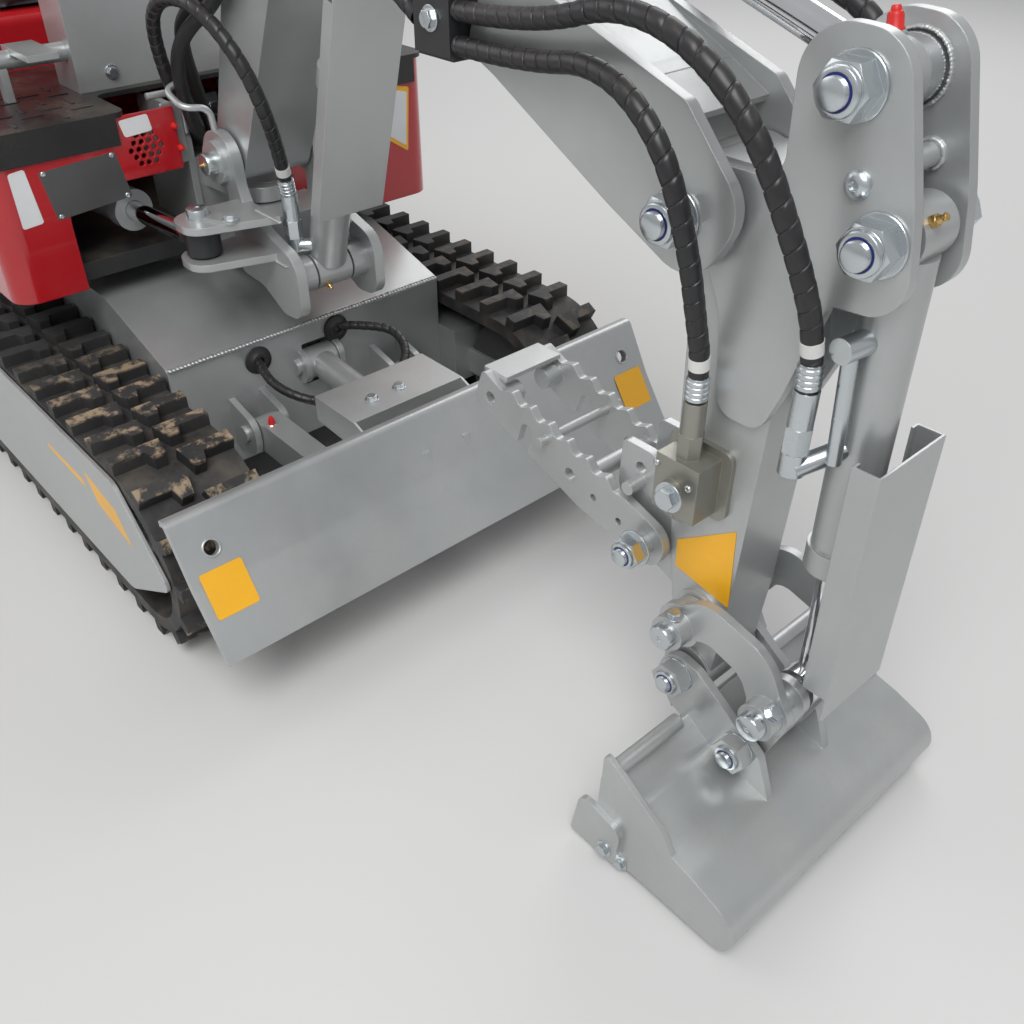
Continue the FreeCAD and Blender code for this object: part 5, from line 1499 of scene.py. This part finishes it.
@dataclass
class Welds:
    """Weld beads: overlapping ripples along a seam."""

    tray: Tray
    ripple: bpy.types.Object | None = None
    pitch: float = 0.55
    flattening: Point = (0.75, 1.0, 0.55)
    widths: tuple[float, float] = (0.86, 1.12)
    wander: float = 0.06
    ring_steps: int = 30

    def model(self) -> None:
        """Models one ripple, of radius 1, flattened onto its seam."""
        bpy.ops.mesh.primitive_uv_sphere_add(segments=10, ring_count=6, radius=1.0, location=(0, 0, 0))
        ripple = bpy.context.object
        ripple.scale = self.flattening
        self.ripple = self.tray.keep(Bench.settle(ripple))
        Bench.smooth(self.ripple, 80.0)

    def seam(self, points: Sequence[Point], width: float, group: str, body: str, seed: int = 0) -> None:
        """Lays a bead along straight runs.

        Args:
            points: Ends and corners of the seam.
            width: Half the bead's width.
            group: The sub-assembly's name.
            body: The body that it rides on.
            seed: Start of its random wobble.
        """
        wobble = random.Random(seed)
        runs = [(Vector(a), Vector(b)) for a, b in zip(points, points[1:])]
        for start, end in runs:
            count = max(2, round((end - start).length / (width * self.pitch * 2)))
            turn = (end - start).normalized().to_track_quat("X", "Z").to_matrix().to_4x4()
            for i in range(count):
                place = start.lerp(end, (i + 0.5) / count)
                size = width * wobble.uniform(*self.widths)
                lift = wobble.uniform(-self.wander, self.wander) * width
                shift = Matrix.Translation(place + Vector((0, 0, lift)))
                self.tray.lay(self.ripple, shift @ turn @ Matrix.Scale(size, 4), group, body, "SILVER")

    def ring(self, centre: Point, radius: float, width: float, group: str, body: str) -> None:
        """Lays a bead round a boss whose axis is Y.

        Args:
            centre: The boss's centre on the plate.
            radius: The boss's radius.
            width: Half the bead's width.
            group: The sub-assembly's name.
            body: The body that it rides on.
        """
        x, y, z = centre
        angles = [math.tau * i / self.ring_steps for i in range(self.ring_steps + 1)]
        points = [(x + radius * math.cos(angle), y, z + radius * math.sin(angle)) for angle in angles]
        self.seam(points, width, group, body, round(x * 1000))


@dataclass
class Trim:
    """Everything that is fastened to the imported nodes."""

    nodes: dict[str, bpy.types.Object]
    tray: Tray
    view: PhotoView
    hardware: Hardware
    welds: Welds
    large_nut: float = 0.0262
    medium_nut: float = 0.0215
    label: float = 0.0006
    thin_label: float = 0.0002
    seat: float = 0.0002
    ring_sides: int = 28
    track_face: float = 0.471
    track_labels: tuple[Outline, ...] = (
        ((0.491, 0.262), (0.518, 0.214), (0.628, 0.190), (0.594, 0.242)),
        ((0.330, 0.236), (0.330, 0.228), (0.478, 0.222), (0.470, 0.236)),
    )
    grommet_outline: Outline = (
        (0.0075, 0.0), (0.0245, 0.0), (0.0255, 0.002), (0.0245, 0.0055), (0.0185, 0.0075), (0.0150, 0.0115),
        (0.0105, 0.0125), (0.0075, 0.011), (0.0075, 0.0),
    )
    rim_outline: Outline = (
        (0.0112, -0.0015), (0.0145, -0.0015), (0.0140, 0.0010), (0.0125, 0.0018), (0.0112, 0.0010),
        (0.0112, -0.0015),
    )
    lashing_hole: Point = (0.796405, 0.418, 0.263559)
    lashing_axis: Point = (0.846939, 0.0, 0.53169)
    hole_depth: float = 0.0068
    blade_label: Outline = ((-0.033, 0.026), (-0.033, 0.094), (0.033, 0.094), (0.033, 0.026))
    cover_face: float = 0.2402
    name_plate: Outline = ((-0.339, 0.633), (-0.327, 0.554), (-0.199, 0.564), (-0.212, 0.640))
    plate_middle: tuple[float, float] = (-0.269, 0.597)
    cover_label: Outline = ((-0.196, 0.684), (-0.190, 0.657), (-0.142, 0.660), (-0.146, 0.687))
    cover_label_large: Outline = ((-0.384, 0.640), (-0.384, 0.553), (-0.350, 0.556), (-0.358, 0.643))
    left_label: Outline = ((0.318, 0.655), (0.312, 0.560), (0.372, 0.520), (0.382, 0.640))
    left_middle: tuple[float, float] = (0.346, 0.592)
    cap_plate: Outline = ((-0.118, 0.695), (-0.118, 0.596), (-0.084, 0.596), (-0.084, 0.695))
    arm_label: Outline = ((1.317, 0.389), (1.319, 0.349), (1.403, 0.334), (1.397, 0.447))
    hook_radius: float = 0.0055
    stud_rows: int = 5
    stud_columns: int = 4
    stud_start: tuple[float, float] = (0.030, 0.225)
    stud_pitch: tuple[float, float] = (0.050, 0.040)
    last_stud: float = 0.215
    spots: tuple[Spot, ...] = (
        Spot("front_panel", Kind.BOLT, (112, 72), 0.009),
        Spot("boom_barrel", Kind.NIPPLE, (328, 283)),
        Spot("boom_barrel", Kind.CAP, (333, 294)),
        Spot("swing_rod", Kind.CAP, (191, 302), 1.3),
        Spot("bucket_barrel", Kind.NIPPLE, (932, 222), 1.2),
        Spot("bucket_guard", Kind.BOLT, (860, 714), 0.009),
        Spot("bucket_rod", Kind.CAP, (826, 721), 1.2),
        Spot("blade_arms", Kind.CAP, (272, 425), 1.1, True),
        Spot("blade_barrel", Kind.CAP, (311, 338), 1.0),
        Spot("blade_cover", Kind.BOLT, (372, 399), 0.0085),
        Spot("blade_cover", Kind.BOLT, (399, 387), 0.0085),
        Spot("hose_clamps", Kind.BOLT, (430, 18), 0.010, True),
        Spot("port_block", Kind.BOLT, (669, 497), 0.0135),
        Spot("port_block", Kind.SCREW, (657, 462), 0.0045),
        Spot("port_block", Kind.SCREW, (688, 489), 0.0045),
        Spot("bucket", Kind.BOLT, (604, 848), 0.0085, True),
        Spot("bucket", Kind.BOLT, (608, 870), 0.0085, True),
        Spot("bucket", Kind.BOLT, (620, 862), 0.0085, True),
    )

    def build(self) -> None:
        """Fits everything, one sub-assembly after another."""
        for spot in self.spots:
            self.fit_spot(spot)
        self.undercarriage()
        self.blade()
        self.house()
        self.swing_post()
        self.boom()
        self.arm()
        self.bucket()

    def body(self, node: str) -> str:
        """Names the body that a node rides on."""
        return self.tray.bodies[node]

    def fit_spot(self, spot: Spot) -> None:
        """Fits hardware where its pixel meets its node.

        Args:
            spot: The piece and its place.
        """
        met = self.view.meet(self.nodes[spot.node], spot.pixel)
        if met is None:
            return
        place, normal = met
        fit = self.hardware.pair if spot.both else self.hardware.fit
        fit(spot.kind, spot.node + "_hardware", self.body(spot.node), tuple(place), tuple(normal), spot.size)

    def tag(
        self, node: str, name: str, corners: Sequence[Point], finish: str, rounding: float = 0.004,
        thickness: float = 0.0006,
    ) -> None:
        """Lays a thin blank label or plate on a node.

        Args:
            node: The node that carries it.
            name: The label's name.
            corners: Its corners, anticlockwise seen from outside.
            finish: The finish's name.
            rounding: Radius of its corners.
            thickness: Its thickness.
        """
        piece = Bench.slab(name, corners, thickness, rounding)
        self.tray.put(piece, name, self.body(node), finish)

    def undercarriage(self) -> None:
        """Fits the grommets, the weld bead and the side labels of the undercarriage."""
        body = self.body("car_body")
        grommet = self.tray.keep(Bench.turned("grommet", self.grommet_outline, self.ring_sides))
        for y, z in ((-0.119, 0.304), (0.044, 0.312)):
            self.tray.lay(grommet, standing((0.430, y, z), FORWARD), "grommets", body, "GROMMET")
        self.welds.seam(((0.4300, -0.281, 0.3400), (0.4300, 0.281, 0.3400)), 0.0062, "car_body_welds", body)
        for side in (-1, 1):
            for i, shape in enumerate(self.track_labels):
                corners = [(x, side * self.track_face, z) for x, z in (shape if side < 0 else shape[::-1])]
                self.tag("car_body", f"track_label_{i + 1}", corners, "YELLOW", 0.003, self.thin_label)

    def blade(self) -> None:
        """Fits the rims of the lashing holes and the blank labels on the blade."""
        rim = self.tray.keep(Bench.turned("hole_rim", self.rim_outline, self.ring_sides))
        body = self.body("blade")
        along = Vector(self.lashing_axis)
        x, y, z = self.lashing_hole
        for side in (-1, 1):
            face = Vector((x, side * y, z)) + along * self.hole_depth
            self.tray.lay(rim, standing(tuple(face), self.lashing_axis), "lashing_rims", body, "SILVER")
            corners = []
            for aside, drop in self.blade_label:
                start = Vector((1.2, side * y + aside, z - drop * along.x))
                found, place, normal, _ = self.nodes["blade"].ray_cast(start, Vector((-1, 0, 0)))
                corners.append(tuple(place + normal * self.seat) if found else tuple(start))
            self.tag("blade", "blade_label", corners, "YELLOW")

    def on_cover(self, outline: Outline) -> list[Point]:
        """Puts an outline on the front covers' face.

        Args:
            outline: Y and Z of its corners.

        Returns:
            The corners.
        """
        return [(self.cover_face, y, z) for y, z in outline]

    def house(self) -> None:
        """Fits the name plate, labels, floor studs, cap plate and hose hook of the house."""
        body = self.body("house_frame")
        plate = self.on_cover(self.name_plate)
        self.tag("front_cover_right", "name_plate", plate, "PLATE", 0.003, self.thin_label)
        centre = Vector((self.cover_face, *self.plate_middle))
        for corner in plate:
            place = Vector(corner).lerp(centre, 0.11) - Vector((0.0016, 0, 0))
            self.hardware.fit(Kind.SCREW, "name_plate_screws", body, tuple(place), FORWARD, 0.0046)
        self.tag("front_cover_right", "cover_label", self.on_cover(self.cover_label), "WHITE")
        self.tag("front_cover_right", "cover_label_large", self.on_cover(self.cover_label_large), "WHITE")
        outer = self.on_cover(self.left_label)
        self.tag("front_cover_left", "left_label_edge", outer, "YELLOW")
        raised = Vector((self.label, 0, 0))
        middle = Vector((self.cover_face, *self.left_middle)) + raised
        inner = [tuple((Vector(corner) + raised).lerp(middle, 0.16)) for corner in outer]
        self.tag("front_cover_left", "left_label", inner, "WHITE", 0.003)
        self.floor_studs()
        strip = [(0.2285, y, z) for y, z in self.cap_plate]
        self.tray.put(Bench.slab("cap_plate", strip, 0.004, 0.004), "cap_plate", body, "SILVER")
        for y, z in ((-0.104, 0.660), (-0.099, 0.623)):
            self.hardware.fit(Kind.CAP, "cap_plate_hardware", body, (0.2325, y, z), FORWARD, 1.1)
        hook = (
            (0.226, -0.135, 0.708), (0.226, -0.090, 0.708), (0.226, -0.078, 0.692), (0.226, -0.078, 0.640),
        )
        self.tray.put(Bench.rod("house_hook", hook, self.hook_radius, 0.012), "house_hook", body, "SILVER")

    def floor_studs(self) -> None:
        """Fits raised grip studs on the floor, in staggered rows."""
        corners = ((-0.018, -0.0035, 0), (0.018, -0.0035, 0), (0.018, 0.0035, 0), (-0.018, 0.0035, 0))
        stud = self.tray.keep(Bench.slab("stud", corners, 0.0016, 0.0034, 4))
        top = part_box("floor_plate")[1][2] - self.seat
        (start_x, start_y), (pitch_x, pitch_y) = self.stud_start, self.stud_pitch
        for side in (-1, 1):
            for row in range(self.stud_rows):
                for column in range(self.stud_columns):
                    x = start_x + pitch_x * column + pitch_x / 2 * (row % 2)
                    y = side * (start_y + pitch_y * row)
                    turn = Matrix.Rotation(math.radians(90 if (row + column) % 2 else 0), 4, "Z")
                    if x < self.last_stud:
                        place = Matrix.Translation((x, y, top)) @ turn
                        self.tray.lay(stud, place, "floor_studs", self.body("floor_plate"), "DECK")

    def swing_post(self) -> None:
        """Fits the pins, keeper bolt, hose hook and weld beads of the swing bracket."""
        body = self.body("swing_bracket")
        pair, fit = self.hardware.pair, self.hardware.fit
        pair(Kind.PIN, "boom_foot_pins", body, (0.340, -0.094, 0.620), RIGHTWARD, 0.018)
        pair(Kind.NIPPLE, "boom_foot_pins", body, (0.340, -0.108, 0.620), RIGHTWARD, 0.9)
        fit(Kind.PIN, "swing_pin", body, (0.415, -0.170, 0.568), UPWARD, 0.0176)
        fit(Kind.BOLT, "swing_pin", body, (0.466, -0.142, 0.573), UPWARD, 0.0095)
        hook = (
            (0.330, -0.075, 0.655), (0.330, -0.080, 0.702), (0.318, -0.119, 0.706), (0.272, -0.121, 0.724),
            (0.260, -0.084, 0.732),
        )
        self.tray.put(Bench.rod("hose_hook", hook, self.hook_radius, 0.014), "hose_hook", body, "SILVER")
        for height, seed in ((0.5685, 3), (0.4955, 4)):
            run = ((0.445, -0.085, height), (0.520, -0.085, height))
            self.welds.seam(run, 0.0035, "bracket_welds", body, seed)

    def boom(self) -> None:
        """Fits the nuts, pin heads and clamp bolts of the boom."""
        body = self.body("boom")
        pair = self.hardware.pair
        pair(Kind.NUT, "boom_nuts", body, (1.290, -0.076, 0.792), RIGHTWARD, self.large_nut)
        pair(Kind.NUT, "boom_nuts", body, (0.805, -0.048, 1.145), RIGHTWARD, self.medium_nut)
        pair(Kind.PIN, "boom_nuts", body, (0.6545, -0.046, 0.955), RIGHTWARD, 0.0185)
        pair(Kind.BOLT, "clamp_bolts", body, (0.947, -0.103, 0.923), RIGHTWARD, 0.010)

    def arm(self) -> None:
        """Fits the nuts, cap, label, plug welds and weld rings of the arm."""
        body = self.body("arm")
        pair = self.hardware.pair
        for place in ((1.442, -0.052, 0.937), (1.491, -0.052, 0.817)):
            pair(Kind.NUT, "arm_nuts", body, place, RIGHTWARD, self.large_nut)
        pair(Kind.NUT, "arm_nuts", body, (1.280, -0.078, 0.372), RIGHTWARD, self.medium_nut)
        eye = (1.436, 0.0, 0.9672)
        self.hardware.fit(Kind.CAP, "arm_rod_cap", self.body("arm_rod"), eye, (-0.16, 0, 1), 1.4)
        for side in (-1, 1):
            self.welds.ring((1.442, side * 0.0375, 0.937), 0.0325, 0.0042, "arm_welds", body)
        self.tag("arm", "arm_label", [(x, -0.0443, z) for x, z in self.arm_label], "YELLOW", 0.003)
        pair(Kind.SCREW, "plug_weld", body, (1.461, -0.052, 0.862), RIGHTWARD, 0.013)
        for side in (-1, 1):
            self.welds.ring((1.474, side * 0.0375, 0.872), 0.0125, 0.0045, "arm_welds", body)

    def bucket(self) -> None:
        """Fits the nuts of the bucket and the bolts and pin ends of its rocker."""
        pair = self.hardware.pair
        for place in ((1.360, -0.067, 0.205), (1.466, -0.067, 0.153)):
            pair(Kind.NUT, "bucket_nuts", self.body("bucket"), place, RIGHTWARD, self.medium_nut)
        rocker = self.body("rocker")
        pair(Kind.BOLT, "rocker_bolts", rocker, (1.363, -0.095, 0.3255), UPWARD, 0.0085)
        pair(Kind.BOLT, "rocker_bolts", rocker, (1.516, -0.095, 0.2802), (0.58, 0, 0.81), 0.0095)
        pair(Kind.PIN, "rocker_pins", rocker, (1.363, -0.104, 0.303), RIGHTWARD, 0.0165)
        pair(Kind.PIN, "rocker_pins", rocker, (1.502, -0.104, 0.261), RIGHTWARD, 0.0175)


@dataclass
class SeatPad:
    """The padded seat: cushion and back, blown up by a cloth simulation and sewn."""

    voxel: float = 0.007
    inset: float = 0.007
    pressure: float = 4.0
    frames: int = 20
    cap: float = 0.018
    foot: float = 0.012
    fill: float = 0.8
    thread: float = 0.0018
    seams: tuple[float, ...] = (-0.105, 0.0, 0.105)
    cushion: float = 0.18
    front_gap: float = 0.03
    back_foot: float = 0.14
    top_gap: float = 0.04
    away: float = 0.1
    cushion_steps: int = 9
    back_steps: int = 15

    def build(self, node: bpy.types.Object, finish: bpy.types.Material, body: str) -> None:
        """Makes the padded seat and its seams.

        Args:
            node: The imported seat.
            finish: The vinyl.
            body: The body that it rides on.
        """
        pad = Bench.link("seat_pad", node.data.copy())
        remesh = pad.modifiers.new("remesh", "REMESH")
        remesh.mode = "VOXEL"
        remesh.voxel_size = self.voxel
        Bench.only(pad)
        bpy.ops.object.modifier_apply(modifier=remesh.name)
        self.shrink(pad)
        self.blow(pad)
        smooth = pad.modifiers.new("smooth", "SUBSURF")
        smooth.levels = 1
        smooth.render_levels = 1
        Bench.only(pad)
        bpy.ops.object.modifier_apply(modifier=smooth.name)
        pad.data.shade_smooth()
        low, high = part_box(node.name)
        for vertex in pad.data.vertices:
            vertex.co = Vector(min(max(c, a), b) for c, a, b in zip(vertex.co, low, high))
        for piece in (pad, self.sew(pad, low, high)):
            piece.data.materials.clear()
            piece.data.materials.append(finish)
            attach(piece, body)
        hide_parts(node.name)
        LOG.info("seat pad has %d faces", len(pad.data.polygons))

    def shrink(self, pad: bpy.types.Object) -> None:
        """Moves the skin inwards, before it swells.

        Args:
            pad: The seat's skin.
        """
        normals = [vertex.normal.copy() for vertex in pad.data.vertices]
        for vertex, normal in zip(pad.data.vertices, normals):
            vertex.co -= normal * self.inset
        pad.data.update()

    def blow(self, pad: bpy.types.Object) -> None:
        """Blows the skin up as cloth and keeps the result.

        Args:
            pad: The seat's skin.
        """
        start = [vertex.co.copy() for vertex in pad.data.vertices]
        floor = min(place.z for place in start)
        cloth = pad.modifiers.new("cloth", "CLOTH")
        cloth.settings.use_pressure = True
        cloth.settings.uniform_pressure_force = self.pressure
        cloth.settings.effector_weights.gravity = 0.0
        scene = bpy.context.scene
        for frame in range(1, self.frames + 1):
            scene.frame_set(frame)
        graph = bpy.context.evaluated_depsgraph_get()
        blown = [vertex.co.copy() for vertex in pad.evaluated_get(graph).data.vertices]
        pad.modifiers.remove(cloth)
        scene.frame_set(1)
        for vertex, first, last in zip(pad.data.vertices, start, blown):
            shift = last - first
            if shift.length > self.cap:
                shift = shift.normalized() * self.cap
            held = min(max((first.z - floor) / self.foot, 0.0), 1.0)
            vertex.co = first + shift * held
        pad.data.update()

    def sew(self, pad: bpy.types.Object, low: Vector, high: Vector) -> bpy.types.Object:
        """Lays threads down the front of the back and along the cushion.

        Args:
            pad: The finished pad.
            low: Low corner of the seat's box.
            high: High corner.

        Returns:
            The joined threads.
        """
        threads = []
        length = self.cushion - self.front_gap
        height = high[2] - low[2] - self.back_foot - self.top_gap
        for side in self.seams:
            along = [
                (high[0] - self.cushion + length * i / self.cushion_steps, side, high[2] + self.away)
                for i in range(self.cushion_steps + 1)
            ]
            up = [
                (high[0] + self.away, side, low[2] + self.back_foot + height * i / self.back_steps)
                for i in range(self.back_steps + 1)
            ]
            for starts, way in ((along, (0, 0, -1)), (up, (-1, 0, 0))):
                points = []
                for place in starts:
                    found, hit, _, _ = pad.ray_cast(Vector(place), Vector(way))
                    if found:
                        points.append(tuple(hit))
                if len(points) > 2:
                    threads.append(Bench.rod("seam", tuple(points), self.thread, 0.0))
        return Bench.join(threads, "seat_seams")


NODE_FINISHES: dict[str, tuple[str, ...]] = {
    "SILVER": (
        "car_body", "track_frame_right", "track_frame_left", "blade", "blade_arms", "blade_cover",
        "blade_barrel", "front_panel", "lever_shaft", "swing_bracket", "kingpin_lugs", "swing_barrel", "boom",
        "boom_barrel", "boom_guard", "arm_barrel", "arm", "bucket_barrel", "bucket_guard", "rocker",
        "bucket_link", "bucket", "thumb",
    ),
    "RED": ("front_cover_right", "front_cover_left", "engine_hood", "canopy_roof"),
    "DARK": ("house_frame", "counterweight", "canopy_frame", "hose_clamps"),
    "DECK": ("floor_plate",),
    "CAST": ("sprockets", "track_wheels", "travel_motors", "slew_ring", "engine_block", "valve_block"),
    "BLADE_ROD": ("blade_rod",),
    "SWING_ROD": ("swing_rod",),
    "BOOM_ROD": ("boom_rod",),
    "ARM_ROD": ("arm_rod",),
    "BUCKET_ROD": ("bucket_rod",),
    "PORT": ("port_block",),
    "ZINC": ("boom_ports", "bucket_ports"),
    **{name: () for name in (
        "GUARD", "HOSE", "BRASS", "CAP", "BLUE", "YELLOW", "WHITE", "PLATE", "TAPE", "GROMMET",
    )},
    "RUBBER": ("track_right", "track_left"),
    "VINYL": ("seat",),
    "PLASTIC": ("control_levers",),
}


@dataclass
class Studio:
    """Floor, light and the photograph's camera."""

    view: PhotoView
    sensor: float = 36.0
    far: float = 100.0
    floor_half: float = 40.0
    floor_drop: float = 0.0005
    floor_roughness: float = 0.9
    sky: Colour = (0.97, 0.98, 1.0)
    sky_light: float = 0.50
    sky_shown: float = 1.0
    floor_colour: Colour = (0.62, 0.62, 0.61)
    lamps: tuple[tuple[str, Point, Point, float, float], ...] = (
        ("key", (2.6, -2.2, 4.2), (0.5, 0.0, 0.4), 2.6, 150.0),
        ("fill", (-3.4, -2.6, 3.4), (0.3, 0.0, 0.5), 3.6, 50.0),
        ("back", (-1.2, 4.0, 3.6), (0.5, 0.0, 0.5), 3.2, 80.0),
    )

    def build(self) -> None:
        """Makes the floor, the lamps, the world and the camera."""
        self._floor()
        self._lamps()
        self._world()
        self._camera()
        bpy.context.scene.view_settings.view_transform = "Standard"

    def _floor(self) -> None:
        """Makes the plain floor."""
        bpy.ops.mesh.primitive_plane_add(size=2 * self.floor_half, location=(0, 0, -self.floor_drop))
        floor = bpy.context.object
        floor.name = "studio_floor"
        material = bpy.data.materials.new("studio_floor")
        material.use_nodes = True
        shader = material.node_tree.nodes["Principled BSDF"]
        shader.inputs["Base Color"].default_value = (*self.floor_colour, 1.0)
        shader.inputs["Roughness"].default_value = self.floor_roughness
        floor.data.materials.append(material)
        floor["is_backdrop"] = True

    def _lamps(self) -> None:
        """Makes the soft lamps."""
        for name, place, target, side, power in self.lamps:
            bpy.ops.object.light_add(type="AREA", location=place)
            lamp = bpy.context.object
            lamp.name = name + "_lamp"
            lamp.data.size = side
            lamp.data.energy = power
            lamp.rotation_euler = (Vector(target) - Vector(place)).to_track_quat("-Z", "Y").to_euler()

    def _world(self) -> None:
        """Gives a plain sky that shows white to the camera and through glass."""
        world = bpy.data.worlds.new("studio_sky")
        bpy.context.scene.world = world
        world.use_nodes = True
        sketch = Sketch(world.node_tree)
        path = sketch.add("LightPath")
        seen = sketch.math("MAXIMUM", path.outputs["Is Camera Ray"], path.outputs["Is Transmission Ray"])
        strength = sketch.ramp(seen, 0.0, 1.0, self.sky_light, self.sky_shown)
        sky = sketch.add("Background", None, Color=self.sky, Strength=strength)
        out = sketch.add("OutputWorld")
        sketch.put(out.inputs["Surface"], sky.outputs[0])

    def _camera(self) -> None:
        """Makes the camera at the photograph's place, with no roll."""
        data = bpy.data.cameras.new("photo_camera")
        data.sensor_width = self.sensor
        data.lens = self.view.focal * self.sensor / IMAGE_SIDE
        data.clip_end = self.far
        camera = bpy.data.objects.new("photo_camera", data)
        bpy.context.scene.collection.objects.link(camera)
        right, up, forward = self.view.axes()
        turn = Matrix((right, up, -forward)).transposed().to_4x4()
        camera.matrix_world = Matrix.Translation(Vector(self.view.place)) @ turn
        bpy.context.scene.camera = camera


class Machine:
    """The machine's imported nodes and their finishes."""

    def __init__(self, nodes: dict[str, bpy.types.Object], effects: Effects) -> None:
        """Keeps the nodes and builds the materials.

        Args:
            nodes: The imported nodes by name.
            effects: The shared node groups.
        """
        self.nodes = nodes
        self.materials = {name: getattr(Paints, name).build(effects) for name in NODE_FINISHES}

    @staticmethod
    def bodies(frame: dict) -> dict[str, str]:
        """Lists the body of every node.

        Args:
            frame: The loaded frame.

        Returns:
            Bodies by node name.
        """
        members = frame["record"]["behaviour"]["bodies"]
        return {node: body for body, names in members.items() for node in names}

    def dress(self) -> None:
        """Gives every node its finish."""
        for finish_name, names in NODE_FINISHES.items():
            finish: Finish = getattr(Paints, finish_name)
            for name in names:
                node = self.nodes[name]
                node.data.materials.clear()
                node.data.materials.append(self.materials[finish_name])
                LOG.info("%s has %s", name, finish.name)


def corners() -> list[list[float]]:
    """Gives the shown object's box as plain numbers."""
    return [[round(float(c), 5) for c in corner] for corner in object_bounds()]


def main() -> None:
    """Builds the dressed machine."""
    logging.basicConfig(level=logging.INFO, format="%(message)s")
    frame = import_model()
    bpy.ops.object.select_all(action="DESELECT")
    machine = Machine(frame["nodes"], Effects())
    view = PhotoView()
    Studio(view).build()
    hoses = Hoses()
    hoses.build(machine.materials)
    machine.dress()
    tray = Tray(machine.materials, machine.bodies(frame))
    Crimps(tray).build(hoses)
    SeatPad().build(machine.nodes["seat"], machine.materials["VINYL"], tray.bodies["seat"])
    hardware = Hardware(tray)
    hardware.model()
    welds = Welds(tray)
    welds.model()
    Trim(machine.nodes, tray, view, hardware, welds).build()
    tray.close()


if __name__ == "__main__":
    main()
